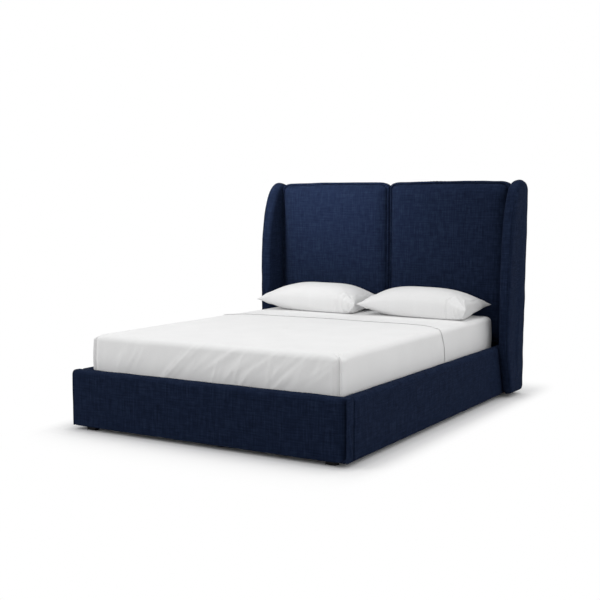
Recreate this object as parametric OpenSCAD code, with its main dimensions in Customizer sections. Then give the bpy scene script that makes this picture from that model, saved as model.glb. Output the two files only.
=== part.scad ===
// Upholstered wing bed for a queen mattress: a headboard with two cushions between padded
// wings, padded rails on low feet, a slatted base with a centre beam, a made-up mattress
// and two pillows. Millimetres. X runs across the bed, Y from the foot (-) to the headboard
// (+), Z up from the floor. The origin is on the floor under the middle of the bed.

/* [Mattress] */
// Width of the mattress
mattress_w = 1524; // [1370:1:1830]
// Length of the mattress
mattress_l = 2032; // [1880:1:2130]
// Height of the mattress
mattress_h = 254; // [200:1:320]
// Radius of the mattress corners, seen from above
mattress_corner = 32; // [20:1:60]
// Radius of the mattress's top and bottom edges
mattress_edge = 32; // [20:1:40]
// How far the middle of the mattress stands above its edges
mattress_crown = 4; // [1:1:10]
// How far the sides of the mattress bulge
mattress_bulge = 5; // [0:1:7]
// Gap between the mattress and each side rail
side_gap = 26; // [14:1:40]
// Gap between the mattress and the footboard
foot_gap = 26; // [20:1:60]
// Gap between the mattress and the headboard cushions
head_gap = 14; // [13:1:60]

/* [Sheets] */
// Thickness of each sheet
sheet_t = 1.2; // [0.8:0.1:2]
// Air between two soft layers
soft_fit = 0.3; // [0.2:0.1:0.6]
// Width of the fitted sheet's hem under the mattress
fitted_hem = 60; // [30:1:120]
// Width of the flat sheet's tuck under the mattress
flat_tuck = 130; // [60:1:200]
// Length of the mattress top that the flat sheet covers, from the foot
flat_cover = 1291; // [900:1:1500]
// Depth of the folds on the flat sheet's foot side
fold_depth = 7; // [2:1:10]
// Number of folds across the foot side
fold_count = 9; // [5:1:12]

/* [Pillows] */
// Width of a pillow, from ear to ear
pillow_w = 752; // [600:1:770]
// Depth of a pillow, from ear to ear
pillow_d = 440; // [380:1:520]
// Height of a pillow at its crown
pillow_h = 184; // [120:1:220]
// Height of a pillow's seam above the sheet
pillow_seam = 60; // [40:1:80]
// How far a pillow's long sides draw in between the ears
pillow_draw = 22; // [5:1:40]
// How far the ears lift above the rest of the seam
ear_lift = 12; // [0:1:25]
// Gap between the two pillows
pillow_gap = 8; // [2:1:60]
// Gap between the pillows and the headboard cushions
pillow_back_gap = 12; // [4:1:60]

/* [Rails] */
// Height of the rails above the floor
foot_h = 22; // [15:1:120]
// Height of the padded rails and footboard
rail_h = 305; // [280:1:380]
// Thickness of a padded side rail
rail_t = 60; // [56:1:110]
// Thickness of the padded footboard
footboard_t = 68; // [62:1:110]
// Thickness of the boards inside the rails and footboard
board_t = 38; // [30:1:42]
// Padding above a board
pad_top = 20; // [15:1:30]
// Padding under a board
pad_bottom = 6; // [4:1:10]
// Cover on a board's inner face
pad_in = 4; // [4:1:8]
// Padding at each end of the footboard
pad_end = 26; // [20:1:40]
// Radius of the outer top edges
edge_out = 14; // [8:1:18]
// Radius of the footboard's corners and of the top edges at its ends
edge_end = 6; // [4:1:16]
// Radius of the inner top edges
edge_in = 10; // [6:1:18]
// Radius of the bottom edges
edge_low = 5; // [3:1:6]

/* [Slatted base] */
// Number of slats
slat_count = 12; // [10:1:13]
// Width of a slat
slat_w = 89; // [60:1:100]
// Thickness of a slat
slat_t = 19; // [15:1:25]
// Height of the rails above the slats
slat_drop = 74; // [60:1:90]
// Gap at each end of a slat
slat_end_gap = 6; // [3:1:12]
// Gap from the first and last slat to the boards
slat_margin = 30; // [10:1:60]
// Width of a slat ledger
ledger_w = 30; // [28:1:40]
// Height of a slat ledger
ledger_h = 40; // [30:1:50]
// Number of screws in a ledger
ledger_screw_count = 8; // [4:1:10]
// Width of the webbing straps that hold the slats apart
strap_w = 30; // [20:1:50]
// Thickness of the webbing straps
strap_t = 1.5; // [1:0.1:3]
// Distance of the straps from the slat ends
strap_inset = 160; // [60:1:300]

/* [Centre support] */
// Width of the centre beam
beam_w = 45; // [40:1:70]
// Height of the centre beam
beam_h = 70; // [60:1:90]
// Thickness of the beam hangers' steel
hanger_t = 3; // [2:0.5:4]
// Length of a beam hanger's seat
hanger_l = 50; // [30:1:70]
// Width of a hanger's screw flanges
flange_w = 25; // [18:1:35]
// Depth of a centre leg along the bed
leg_d = 45; // [40:1:70]
// Thickness of the tongue that laps the beam
tongue_t = 15; // [12:1:19]
// Height of the tongue beside the beam
tongue_h = 55; // [45:1:58]
// Distance between the two centre legs
leg_spacing = 900; // [500:1:1300]

/* [Levelling feet] */
// Diameter of a levelling foot's base
base_d = 46; // [30:1:60]
// Thickness of the base
base_t = 6; // [4:0.5:10]
// Width across the flats of the spanner collar
collar_flats = 17; // [15:1:19]
// Height of the spanner collar
collar_h = 6; // [4:0.5:8]
// Diameter of the threaded stem
stem_d = 10; // [8:1:12]
// Length of the stem above the collar
stem_l = 40; // [35:1:60]
// Outer diameter of the insert in the leg
insert_d = 16; // [14:1:20]
// Length of the insert
insert_l = 24; // [15:1:30]
// Diameter of the insert's flange
insert_flange_d = 24; // [22:1:30]
// Thickness of the insert's flange
insert_flange_t = 1.5; // [1:0.5:3]
// Running clearance round the stem
stem_fit = 0.1; // [0.05:0.05:0.3]

/* [Corner feet] */
// Width of a corner foot across the bed
corner_foot_w = 56; // [50:1:90]
// Depth of a corner foot along the bed
corner_foot_d = 34; // [28:1:58]
// Distance from the rail's outer face to the middle of a foot
corner_foot_inset = 103; // [60:1:110]
// Distance between the two screws in a foot
foot_screw_gap = 32; // [26:1:36]

/* [Headboard] */
// Height of the headboard's top edge
headboard_h = 1345; // [1000:1:1500]
// Thickness of the front panel
panel_t = 15; // [12:1:22]
// Depth of the timber frame
frame_d = 67; // [45:1:90]
// Thickness of the back cover
back_t = 8; // [4:1:12]
// Width of a post
post_w = 140; // [132:1:170]
// Height of the top and middle rails
frame_rail_h = 70; // [50:1:110]
// Height of the bottom rail
bottom_rail_h = 100; // [95:1:130]
// Height of the middle rail's lower edge above the floor
middle_rail_z = 640; // [560:1:760]

/* [Headboard cushions] */
// Thickness of a cushion at its crown
cushion_t = 80; // [60:1:110]
// How far the cushions stand above the headboard's top edge
cushion_rise = 26; // [5:1:60]
// Gap between a cushion and the rails under it
cushion_low_gap = 8; // [3:1:20]
// Gap between the two cushions
cushion_gap = 4; // [1:1:20]
// Gap between a cushion and a wing
cushion_side_gap = 2; // [1:1:20]
// Radius of a cushion's upper corners
cushion_corner = 70; // [60:1:120]
// Radius of a cushion's lower corners
cushion_low_corner = 50; // [45:1:80]
// How far the front seam lies inside the cushion's outline
seam_inset = 11; // [8:1:14]
// How far the front face stands out from its seam
face_crown = 12; // [6:1:16]
// Thickness of the board in a cushion's back
cushion_board_t = 12; // [9:1:16]
// Margin round a cushion board
cushion_board_inset = 30; // [25:1:40]

/* [Wings] */
// Thickness of a wing
wing_t = 66; // [58:1:90]
// How far a wing's peak stands above the headboard's top edge
wing_rise = 33; // [5:1:60]
// Depth of a wing at mid height
wing_d = 319; // [280:1:400]
// Distance of the peak in front of the wing's back
wing_peak_d = 85; // [80:1:110]
// Height of the rounded upper back corner
wing_back_round = 80; // [60:1:110]
// Height where the front edge starts to lean back
wing_lean_z = 430; // [421:1:700]
// Height below which the front edge draws back
wing_low_z = 350; // [300:1:420]
// How far the front edge has drawn back at the bottom
wing_low_back = 90; // [30:1:110]
// Extra rounding along a wing's top, as a share of the rounding of its front edge
wing_dome = 0.9; // [0:0.1:1.2]
// Radius of the wing's lower corners
wing_low_corner = 40; // [36:1:60]
// Thickness of the wing board
wing_board_t = 24; // [18:1:28]
// Margin of padding round the wing board
wing_pad = 32; // [28:1:35]
// Padding between the headboard and the wing board
wing_pad_in = 21; // [16:1:24]

/* [Fasteners] */
// Diameter of a wood screw
screw_d = 5; // [4:0.5:6]
// Length of a wood screw under its head
screw_l = 34; // [32:1:38]
// Diameter of a wood screw's head
screw_head_d = 10; // [8:0.5:12]
// Height of a wood screw's head
screw_head_h = 3; // [2:0.5:4]
// Length of a cushion screw under its head
cushion_screw_l = 25; // [22:1:30]
// Diameter of a bracket bolt
bolt_d = 8; // [6:1:10]
// Length of a bracket bolt under its head
bracket_bolt_l = 38; // [30:1:40]
// Diameter of a bolt head
bolt_head_d = 15; // [13:1:18]
// Height of a bolt head
bolt_head_h = 5; // [4:0.5:6]
// Length of post that a wing bolt passes through
wing_grip = 40; // [30:1:60]
// Diameter of the bore that takes a wing bolt's head
wing_bore_d = 24; // [20:1:30]
// Diameter of a tee nut's flange
tee_flange_d = 22; // [20:1:28]
// Thickness of a tee nut's flange
tee_flange_t = 2; // [1:0.5:3]
// Wall of a tee nut's barrel
tee_wall = 1; // [0.8:0.1:1.5]
// Length of a tee nut's barrel
tee_barrel_l = 9; // [8:1:12]
// Distance of wing bolts and cushion screws from the nearest frame rail
fixing_gap = 60; // [40:1:80]
// Clearance round fasteners
hole_fit = 0.2; // [0.1:0.1:0.4]
// Length of a corner bracket's two legs
bracket_leg = 60; // [50:1:80]
// Height of a corner bracket
bracket_h = 120; // [100:1:130]
// Thickness of a corner bracket
bracket_t = 4; // [3:0.5:4]

/* [Hidden] */
$fn = 48;

navy = "#25324f";
timber = "#c9a877";
plywood = "#b98f5c";
steel = "#8d9196";
black = "#202124";
cotton = "#f2f2f0";
ticking = "#dcdcd6";

// Heights
rail_top = foot_h + rail_h;
slat_top = rail_top - slat_drop;
slat_bottom = slat_top - slat_t;
beam_bottom = slat_bottom - beam_h;
board_bottom = foot_h + pad_bottom;
board_top = rail_top - pad_top;
slot_top = slat_bottom + edge_low;
bracket_z = board_bottom + bolt_head_d;
mattress_z = slat_top + 2 * (sheet_t + soft_fit);
bed_top = mattress_z + mattress_h + mattress_crown;
cushion_z = rail_top + cushion_low_gap;
frame_top = headboard_h - back_t;
cushion_top = headboard_h + cushion_rise;
wing_top = headboard_h + wing_rise;
hanger_h = beam_h * 0.85;
cushion_fixing_z = [middle_rail_z - fixing_gap, middle_rail_z + frame_rail_h + fixing_gap,
    frame_top - frame_rail_h - fixing_gap];
wing_bolt_z = [rail_top + fixing_gap, cushion_fixing_z[1], cushion_fixing_z[2]];
bracket_bolt_z = [bracket_z + bracket_h / 4, bracket_z + bracket_h * 3 / 4];

// Places across the bed, on the right-hand side
rail_x = mattress_w / 2 + side_gap + rail_t;
inner_x = rail_x - rail_t;
board_x = inner_x + pad_in;
post_x = rail_x - post_w;
foot_x = rail_x - corner_foot_inset;

// Places along the bed
total_l = footboard_t + foot_gap + mattress_l + head_gap + cushion_t + panel_t + frame_d + back_t;
foot_y = -total_l / 2;
back_y = total_l / 2;
footboard_y = foot_y + footboard_t;
footboard_board_y = footboard_y - pad_in;
frame_y = back_y - back_t - frame_d;
panel_y = frame_y - panel_t;
mattress_foot_y = footboard_y + foot_gap;
mattress_mid_y = mattress_foot_y + mattress_l / 2;
flat_edge_y = mattress_foot_y + flat_cover;
cushion_front_y = panel_y - cushion_t;
leg_y = [-leg_spacing / 2, leg_spacing / 2];
corner_foot_y = [footboard_board_y - corner_foot_d / 2, frame_y + frame_d / 2];

// Cushions and wings
cushion_w = rail_x - cushion_gap / 2 - cushion_side_gap;
cushion_h = cushion_top - cushion_z;
cushion_mid_x = cushion_gap / 2 + cushion_w / 2;
wing_bolt_y = frame_y + frame_d / 3;
wing_bolt_l = wing_grip + wing_pad_in + wing_board_t - tee_flange_t;
tee_barrel_d = bolt_d + 2 * (hole_fit + tee_wall);

// Steps in a quarter turn of a mattress corner
corner_steps = 5;

// Overshoot of a cut past the face that it opens
past = 1;

// Legs
leg_bottom = base_t + collar_h + insert_flange_t;
leg_x0 = -beam_w / 2;
leg_x1 = beam_w / 2 + tongue_t;

// Side of the bed: -1 is the left, 1 is the right, seen from the foot.
module on_side(side) {
    mirror([side < 0 ? 1 : 0, 0, 0]) children();
}

// Extrudes an (x, z) outline from y0 to y1.
module along_y(y0, y1) {
    translate([0, y1, 0]) rotate([90, 0, 0]) linear_extrude(y1 - y0) children();
}

// Extrudes a (y, z) outline from x0 to x1.
module along_x(x0, x1) {
    translate([x0, 0, 0]) rotate([90, 0, 90]) linear_extrude(x1 - x0) children();
}

// Box between two opposite corners.
module block(low, high) {
    translate(low) cube(high - low);
}

// Rectangle with a radius of its own at each corner: lower left, lower right, upper right,
// upper left.
module rounded(low, high, r) {
    corners = [low, [high.x, low.y], high, [low.x, high.y]];
    inward = [[1, 1], [-1, 1], [-1, -1], [1, -1]];
    difference() {
        translate(low) square(high - low);
        for (i = [0:3]) translate(corners[i]) square(2 * r[i], center = true);
    }
    for (i = [0:3]) translate(corners[i] + r[i] * inward[i]) circle(r[i]);
}

// Rotation that turns +Z to one of the six directions.
function turn(a) = a.x != 0 ? [0, 90 * a.x, 0]
    : a.y != 0 ? [-90 * a.y, 0, 0]
    : [a.z < 0 ? 180 : 0, 0, 0];

// Screw or bolt that runs in direction a; at is under its head.
module fastener(at, a, d, l, head_d, head_h) {
    translate(at) rotate(turn(a)) {
        translate([0, 0, -head_h]) cylinder(d = head_d, h = head_h);
        cylinder(d = d, h = l);
    }
}

// Hole for a fastener, from its head's seat to its tip.
module hole(at, a, d, l) {
    translate(at) rotate(turn(a)) cylinder(d = d + hole_fit, h = l + hole_fit);
}

// Mean of a ring of points.
function centre(ring) = [for (k = [0:2]) [for (q = ring) q[k]] * [for (q = ring) 1] / len(ring)];

// Closed solid through a stack of rings with equal numbers of points. Each ring runs
// anticlockwise as seen from the last one, and both ends close to their middles.
module ring_solid(rings) {
    n = len(rings[0]);
    m = len(rings);
    points = concat([for (r = rings, q = r) q], [centre(rings[0]), centre(rings[m - 1])]);
    walls = [for (j = [0:m - 2], i = [0:n - 1]) let (a = j * n + i, b = j * n + (i + 1) % n)
        each [[a, a + n, b], [b, a + n, b + n]]];
    first = [for (i = [0:n - 1]) [m * n, i, (i + 1) % n]];
    last = [for (i = [0:n - 1]) [m * n + 1, (m - 1) * n + (i + 1) % n, (m - 1) * n + i]];
    polyhedron(points, concat(first, walls, last));
}

// Outline of a rounded rectangle, anticlockwise from its right side: its half width and half
// height, drawn in by inset, with the upper and lower corner radii and n steps per corner.
function rounded_outline(w, h, r_top, r_low, inset, n) = [for (c = [0:3], i = [0:n])
    let (a = 90 * (c + i / n), r = (c < 2 ? r_top : r_low) - inset,
        sx = c == 0 || c == 3 ? 1 : -1, sy = c < 2 ? 1 : -1)
    [sx * (w - inset - r) + r * cos(a), sy * (h - inset - r) + r * sin(a)]];

// Screws, each as [place under the head, direction]
ledger_screws = [for (side = [-1, 1], i = [0:ledger_screw_count - 1])
    let (run = frame_y - footboard_y - 2 * bracket_leg)
    [[side * (board_x - ledger_w + screw_l / 2), footboard_y + bracket_leg
        + run * (i + 0.5) / ledger_screw_count, slat_bottom - ledger_h / 2], [side, 0, 0]]];
hanger_screws = [for (side = [-1, 1], end = [-1, 1], k = [0.25, 0.75])
    [[side * (beam_w / 2 + hanger_t + flange_w / 2), end < 0 ? footboard_board_y + hanger_t
        : panel_y - hanger_t, beam_bottom + k * beam_h], [0, end, 0]]];
leg_screws = [for (y = leg_y, k = [0.25, 0.75])
    [[leg_x1, y, beam_bottom + k * tongue_h], [-1, 0, 0]]];
foot_screws = [for (side = [-1, 1], y = corner_foot_y, k = [-1, 1])
    [[side * foot_x + k * foot_screw_gap / 2, y, foot_h / 2], [0, 0, 1]]];
cushion_fixing_x = [cushion_mid_x - cushion_w / 3, post_x - fixing_gap];
cushion_fixings = [for (side = [-1, 1], x = cushion_fixing_x, z = cushion_fixing_z)
    [[side * x, frame_y, z], [0, -1, 0]]];
rail_bolt_y = [footboard_y + bracket_leg / 2, panel_y - bracket_leg / 2];
rail_bolts = [for (side = [-1, 1], y = rail_bolt_y, z = bracket_bolt_z)
    [[side * (board_x - bracket_t), y, z], [side, 0, 0]]];
end_bolts = [for (side = [-1, 1], end = [-1, 1], z = bracket_bolt_z)
    [[side * (board_x - bracket_leg / 2), end < 0 ? footboard_board_y + bracket_t
        : panel_y - bracket_t, z], [0, end, 0]]];
wing_fixings = [for (side = [-1, 1], z = wing_bolt_z)
    [[side * (rail_x - wing_grip), wing_bolt_y, z], [side, 0, 0]]];

module screw_holes(places) {
    for (p = places) hole(p[0], p[1], screw_d, screw_l);
}

module bracket_holes(places) {
    for (p = places) hole(p[0], p[1], bolt_d, bracket_bolt_l);
}

// Post of the headboard frame, bored for the wing bolts and their heads.
module headboard_post(side) {
    color(timber) difference() {
        on_side(side) block([post_x, frame_y, foot_h], [rail_x, frame_y + frame_d, frame_top]);
        for (p = wing_fixings) {
            hole(p[0], p[1], bolt_d, wing_bolt_l);
            hole(p[0], -p[1], wing_bore_d, post_w);
        }
        bracket_holes(end_bolts);
        screw_holes(foot_screws);
    }
}

// Rail between the posts, with its lower edge at z.
module frame_rail(z, h) {
    block([-post_x, frame_y, z], [post_x, frame_y + frame_d, z + h]);
}

module headboard_top_rail() {
    color(timber) frame_rail(frame_top - frame_rail_h, frame_rail_h);
}

module headboard_middle_rail() {
    color(timber) frame_rail(middle_rail_z, frame_rail_h);
}

module headboard_bottom_rail() {
    color(timber) difference() {
        frame_rail(slat_top - bottom_rail_h, bottom_rail_h);
        screw_holes(hanger_screws);
    }
}

// Plywood panel across the front of the frame, wrapped in the cover fabric.
module headboard_panel() {
    color(navy) difference() {
        block([-rail_x, panel_y, foot_h], [rail_x, frame_y, frame_top]);
        for (p = cushion_fixings) hole(p[0], p[1], screw_d, cushion_screw_l);
        screw_holes(hanger_screws);
        bracket_holes(end_bolts);
    }
}

// Padded cover that closes the back and folds over the top edge to the front panel.
module headboard_back_cover() {
    color(navy) along_x(-rail_x, rail_x) difference() {
        rounded([panel_y, foot_h], [back_y, headboard_h],
            [back_t / 4, back_t / 4, back_t * 3 / 4, back_t * 3 / 4]);
        translate([panel_y - past, foot_h - past])
            square([frame_y + frame_d - panel_y + past, frame_top - foot_h + past]);
    }
}

// Board in the back of a cushion, with the outline that its pocket has.
function cushion_outline(inset) =
    rounded_outline(cushion_w / 2, cushion_h / 2, cushion_corner, cushion_low_corner, inset, 6);

module cushion_board(side) {
    color(plywood) difference() {
        translate([side * cushion_mid_x, 0, cushion_z + cushion_h / 2])
            along_y(panel_y - cushion_board_t, panel_y)
                polygon(cushion_outline(cushion_board_inset));
        for (p = cushion_fixings) hole(p[0], p[1], screw_d, cushion_screw_l);
    }
}

// Foam cushion: a boxed border that bulges a little, a seam round the front, and a front face
// that swells out from the seam. Its back has a pocket for the board. The profile runs from the
// pocket to the front as [inset, distance from the panel], and the crown as [share of the
// outline, share of the crown's depth].
module headboard_cushion(side) {
    seam_d = cushion_t - face_crown;
    pocket = cushion_board_inset - soft_fit;
    rim = seam_inset + 26;
    profile = [[pocket, cushion_board_t + soft_fit], [pocket, 0], [5, 0], [1, 9], [0, seam_d / 2],
        [seam_inset * 0.25, seam_d - 16], [seam_inset * 0.7, seam_d - 4], [seam_inset, seam_d],
        [seam_inset + 9, cushion_t - face_crown * 0.55], [rim, cushion_t - face_crown * 0.25]];
    crown = [[0.8, 0.08], [0.45, 0]];
    base = [for (p = profile) [for (q = cushion_outline(p[0])) [q.x, -p[1], q.y]]];
    face = [for (k = crown) [for (q = cushion_outline(rim))
        [q.x * k[0], -cushion_t + face_crown * k[1], q.y * k[0]]]];
    color(navy) translate([side * cushion_mid_x, panel_y, cushion_z + cushion_h / 2])
        ring_solid(concat(base, face));
}

module cushion_screws() {
    color(steel) for (p = cushion_fixings)
        fastener(p[0], p[1], screw_d, cushion_screw_l, screw_head_d, screw_head_h);
}

// How far the front edge of a wing stands in front of its back, at a height under the lean.
function wing_front(z) = let (low = max(0, wing_low_z - z) / (wing_low_z - foot_h))
    wing_d - wing_low_back * pow(low, 1.4);

// Outline of a wing as (distance in front of its back, height), anticlockwise from the lower
// front corner as seen with the front on the right: the front edge rises, leans back along a
// superellipse to the peak, and an elliptical corner falls to the straight back.
function wing_outline() = let (r = wing_low_corner, low_d = wing_front(foot_h + r))
    concat(
        [for (a = [-90:30:-15]) [low_d - r + r * cos(a), foot_h + r + r * sin(a)]],
        [for (z = [foot_h + r:(wing_low_z - foot_h - r) / 5:wing_low_z + 1]) [wing_front(z), z]],
        [for (i = [0:14]) let (a = 90 * pow(i / 14, 0.8))
            [wing_peak_d + (wing_d - wing_peak_d) * cos(a),
                wing_lean_z + (wing_top - wing_lean_z) * pow(sin(a), 2 / 3.7)]],
        [for (a = [108:18:180]) [wing_peak_d + wing_peak_d * cos(a),
            wing_top - wing_back_round + wing_back_round * sin(a)]],
        [for (a = [180:30:270]) [r + r * cos(a), foot_h + r + r * sin(a)]]);

// The outline drawn in by d along the normal at each point, and by a share dome more where it
// faces up.
function drawn_in(ring, d, dome) = [for (i = [0:len(ring) - 1])
    let (n = len(ring), t = ring[(i + 1) % n] - ring[(i + n - 1) % n], up = max(0, -t.x / norm(t)))
    ring[i] + d * (1 + dome * up * up) * [-t.y, t.x] / norm(t)];

// The wing's outline in (y, z), where y runs towards the headboard's back.
function wing_profile(inset, dome) =
    [for (q = drawn_in(wing_outline(), inset, dome)) [back_y - q.x, q.y]];

// Plywood core of a wing, let in for the tee nuts.
module wing_board(side) {
    x0 = rail_x + wing_pad_in;
    color(plywood) difference() {
        on_side(side) along_x(x0, x0 + wing_board_t) polygon(wing_profile(wing_pad, 0));
        for (p = wing_fixings) {
            hole(p[0], p[1], tee_barrel_d, wing_bolt_l + tee_flange_t);
            hole([side * (x0 + wing_board_t - tee_flange_t), p[0].y, p[0].z], p[1],
                tee_flange_d, tee_flange_t);
        }
    }
}

// Padding and cover of a wing: flat against the headboard, a rounded band round the edge and a
// seam along the outer arris. The board sits in a pocket inside it. The profile runs from the
// inner face to the outer one as [inset, distance from the headboard's end].
module wing_cover(side) {
    x0 = rail_x + wing_pad_in - soft_fit;
    profile = [[26, 0], [14, 3], [5, 10], [1, 22], [0, 36], [1, wing_t - 14], [2.5, wing_t - 9],
        [0.5, wing_t - 6], [4, wing_t - 2.5], [14, wing_t]];
    color(navy) difference() {
        on_side(side) ring_solid([for (p = profile)
            [for (q = wing_profile(p[0], wing_dome)) [rail_x + p[1], q.x, q.y]]]);
        on_side(side) along_x(x0, x0 + wing_board_t + 2 * soft_fit)
            polygon(wing_profile(wing_pad - soft_fit, 0));
        for (p = wing_fixings) hole(p[0], p[1], bolt_d, wing_bolt_l);
    }
}

module wing_bolts() {
    color(steel) for (p = wing_fixings)
        fastener(p[0], p[1], bolt_d, wing_bolt_l, bolt_head_d, bolt_head_h);
}

// Flanged nuts let into the outer face of each wing board.
module wing_tee_nuts() {
    x1 = rail_x + wing_pad_in + wing_board_t;
    color(steel) for (p = wing_fixings) difference() {
        translate([p[1].x * x1, p[0].y, p[0].z]) rotate(turn(-p[1])) {
            cylinder(d = tee_flange_d, h = tee_flange_t);
            cylinder(d = tee_barrel_d, h = tee_barrel_l);
        }
        hole(p[0], p[1], bolt_d, wing_bolt_l + 2 * tee_flange_t);
    }
}

// Board inside the padded footboard.
module footboard_board() {
    color(timber) difference() {
        block([pad_end - rail_x, footboard_board_y - board_t, board_bottom],
            [rail_x - pad_end, footboard_board_y, board_top]);
        bracket_holes(end_bolts);
        screw_holes(hanger_screws);
        screw_holes(foot_screws);
    }
}

// Padded cover of the footboard, open behind its board between the side rails.
module footboard_cover() {
    reach = rail_x + footboard_t;
    color(navy) difference() {
        intersection() {
            along_x(-reach, reach)
                rounded([foot_y, foot_h], [footboard_y, rail_top],
                    [edge_low, edge_low, edge_in, edge_out]);
            along_y(foot_y, footboard_y)
                rounded([-rail_x, foot_h], [rail_x, rail_top],
                    [edge_low, edge_low, edge_end, edge_end]);
            translate([0, 0, foot_h]) linear_extrude(rail_h)
                rounded([-rail_x, foot_y], [rail_x, footboard_y],
                    [edge_end, edge_end, edge_low, edge_low]);
        }
        block([pad_end - rail_x, footboard_board_y - board_t, board_bottom],
            [rail_x - pad_end, footboard_board_y, board_top]);
        block([-board_x, footboard_board_y, board_bottom],
            [board_x, footboard_y + pad_in, slot_top]);
        screw_holes(foot_screws);
    }
}

// Board inside a padded side rail.
module side_rail_board(side) {
    color(timber) difference() {
        on_side(side)
            block([board_x, footboard_y, board_bottom], [board_x + board_t, panel_y, board_top]);
        screw_holes(ledger_screws);
        bracket_holes(rail_bolts);
    }
}

// Padded cover of a side rail: it wraps the board and ends above the slats on the inside.
module side_rail_cover(side) {
    color(navy) on_side(side) along_y(footboard_y, panel_y) difference() {
        rounded([inner_x, foot_h], [rail_x, rail_top], [edge_low, edge_low, edge_out, edge_in]);
        translate([board_x, board_bottom]) square([board_t, board_top - board_bottom]);
        translate([inner_x - pad_in, board_bottom]) square([2 * pad_in, slot_top - board_bottom]);
    }
}

// Ledger screwed to a side rail's board, counterbored for its screws.
module slat_ledger(side) {
    color(timber) difference() {
        on_side(side) block([board_x - ledger_w, footboard_y + edge_in, slat_bottom - ledger_h],
            [board_x, panel_y - edge_in, slat_bottom]);
        for (p = ledger_screws) {
            hole(p[0], p[1], screw_d, screw_l);
            hole(p[0], -p[1], screw_head_d + 2 * hole_fit, ledger_w);
        }
    }
}

// Angle brackets that bolt the side rails to the footboard and the headboard.
module corner_brackets() {
    color(steel) for (side = [-1, 1], end = [-1, 1]) difference() {
        wall_y = end < 0 ? footboard_board_y : panel_y;
        on_side(side) translate([board_x, wall_y, bracket_z]) mirror([0, end > 0 ? 1 : 0, 0]) {
            block([-bracket_leg, 0, 0], [0, bracket_t, bracket_h]);
            block([-bracket_t, 0, 0], [0, bracket_leg, bracket_h]);
        }
        bracket_holes(concat(rail_bolts, end_bolts));
    }
}

module bracket_bolts() {
    color(steel) for (p = concat(rail_bolts, end_bolts))
        fastener(p[0], p[1], bolt_d, bracket_bolt_l, bolt_head_d, bolt_head_h);
}

module wood_screws() {
    color(steel) for (p = concat(ledger_screws, hanger_screws, leg_screws, foot_screws))
        fastener(p[0], p[1], screw_d, screw_l, screw_head_d, screw_head_h);
}

// Beam under the middle of the slats, from the footboard to the headboard.
module centre_beam() {
    color(timber) difference() {
        block([-beam_w / 2, footboard_board_y + hanger_t, beam_bottom],
            [beam_w / 2, panel_y - hanger_t, slat_bottom]);
        screw_holes(leg_screws);
    }
}

// Steel shoes that carry the beam's ends: a back, a seat, two cheeks and two screw flanges.
module beam_hangers() {
    w = beam_w / 2;
    color(steel) for (end = [-1, 1]) difference() {
        translate([0, end < 0 ? footboard_board_y : panel_y, beam_bottom])
            mirror([0, end > 0 ? 1 : 0, 0]) {
                difference() {
                    block([-w - hanger_t, 0, -hanger_t], [w + hanger_t, hanger_l, hanger_h]);
                    block([-w, hanger_t, 0], [w, hanger_l + past, beam_h]);
                }
                for (side = [-1, 1]) on_side(side)
                    block([w, 0, 0], [w + hanger_t + flange_w, hanger_t, hanger_h]);
            }
        screw_holes(hanger_screws);
    }
}

// Leg under the beam, with a tongue that laps the beam's side and a bore for its insert.
module centre_leg(y) {
    color(timber) difference() {
        union() {
            block([leg_x0, y - leg_d / 2, leg_bottom], [leg_x1, y + leg_d / 2, beam_bottom]);
            block([beam_w / 2, y - leg_d / 2, beam_bottom],
                [leg_x1, y + leg_d / 2, beam_bottom + tongue_h]);
        }
        translate([0, y, leg_bottom]) cylinder(d = insert_d, h = insert_l - insert_flange_t);
        translate([0, y, leg_bottom]) cylinder(d = stem_d + 2 * stem_fit, h = stem_l + stem_d);
        screw_holes(leg_screws);
    }
}

// Flanged inserts in the legs that take the levelling feet.
module leg_inserts() {
    color(steel) for (y = leg_y) translate([0, y, leg_bottom - insert_flange_t]) difference() {
        union() {
            cylinder(d = insert_flange_d, h = insert_flange_t);
            cylinder(d = insert_d, h = insert_l);
        }
        translate([0, 0, -past]) cylinder(d = stem_d + 2 * stem_fit, h = insert_l + 2 * past);
    }
}

// Levelling foot: a chamfered base, a hexagonal spanner collar and a stem in the leg.
module levelling_foot(y) {
    color(black) translate([0, y, 0]) {
        cylinder(d = base_d, h = base_t / 2);
        translate([0, 0, base_t / 2]) cylinder(d1 = base_d, d2 = base_d - base_t, h = base_t / 2);
        translate([0, 0, base_t]) cylinder(d = collar_flats / cos(30), h = collar_h, $fn = 6);
        translate([0, 0, base_t + collar_h]) cylinder(d = stem_d, h = stem_l);
    }
}

// Low foot block, screwed up into the board above it. The screws sit in counterbores.
module corner_foot(side, y) {
    color(black) difference() {
        block([side * foot_x - corner_foot_w / 2, y - corner_foot_d / 2, 0],
            [side * foot_x + corner_foot_w / 2, y + corner_foot_d / 2, foot_h]);
        for (p = foot_screws) {
            hole(p[0], p[1], screw_d, screw_l);
            hole(p[0], -p[1], screw_head_d + 2 * hole_fit, foot_h);
        }
    }
}

// Webbing strap under the slats, near their ends.
module slat_strap(side) {
    color(cotton) on_side(side) block(
        [inner_x - strap_inset - strap_w, footboard_y + slat_margin, slat_bottom - strap_t],
        [inner_x - strap_inset, panel_y - slat_margin, slat_bottom]);
}

// Slat number i, counted from the foot, on both ledgers and the beam.
module slat(i) {
    pitch = (panel_y - footboard_y - 2 * slat_margin - slat_w) / (slat_count - 1);
    y = footboard_y + slat_margin + (i - 1) * pitch;
    color(timber) block([slat_end_gap - inner_x, y, slat_bottom],
        [inner_x - slat_end_gap, y + slat_w, slat_top]);
}

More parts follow.
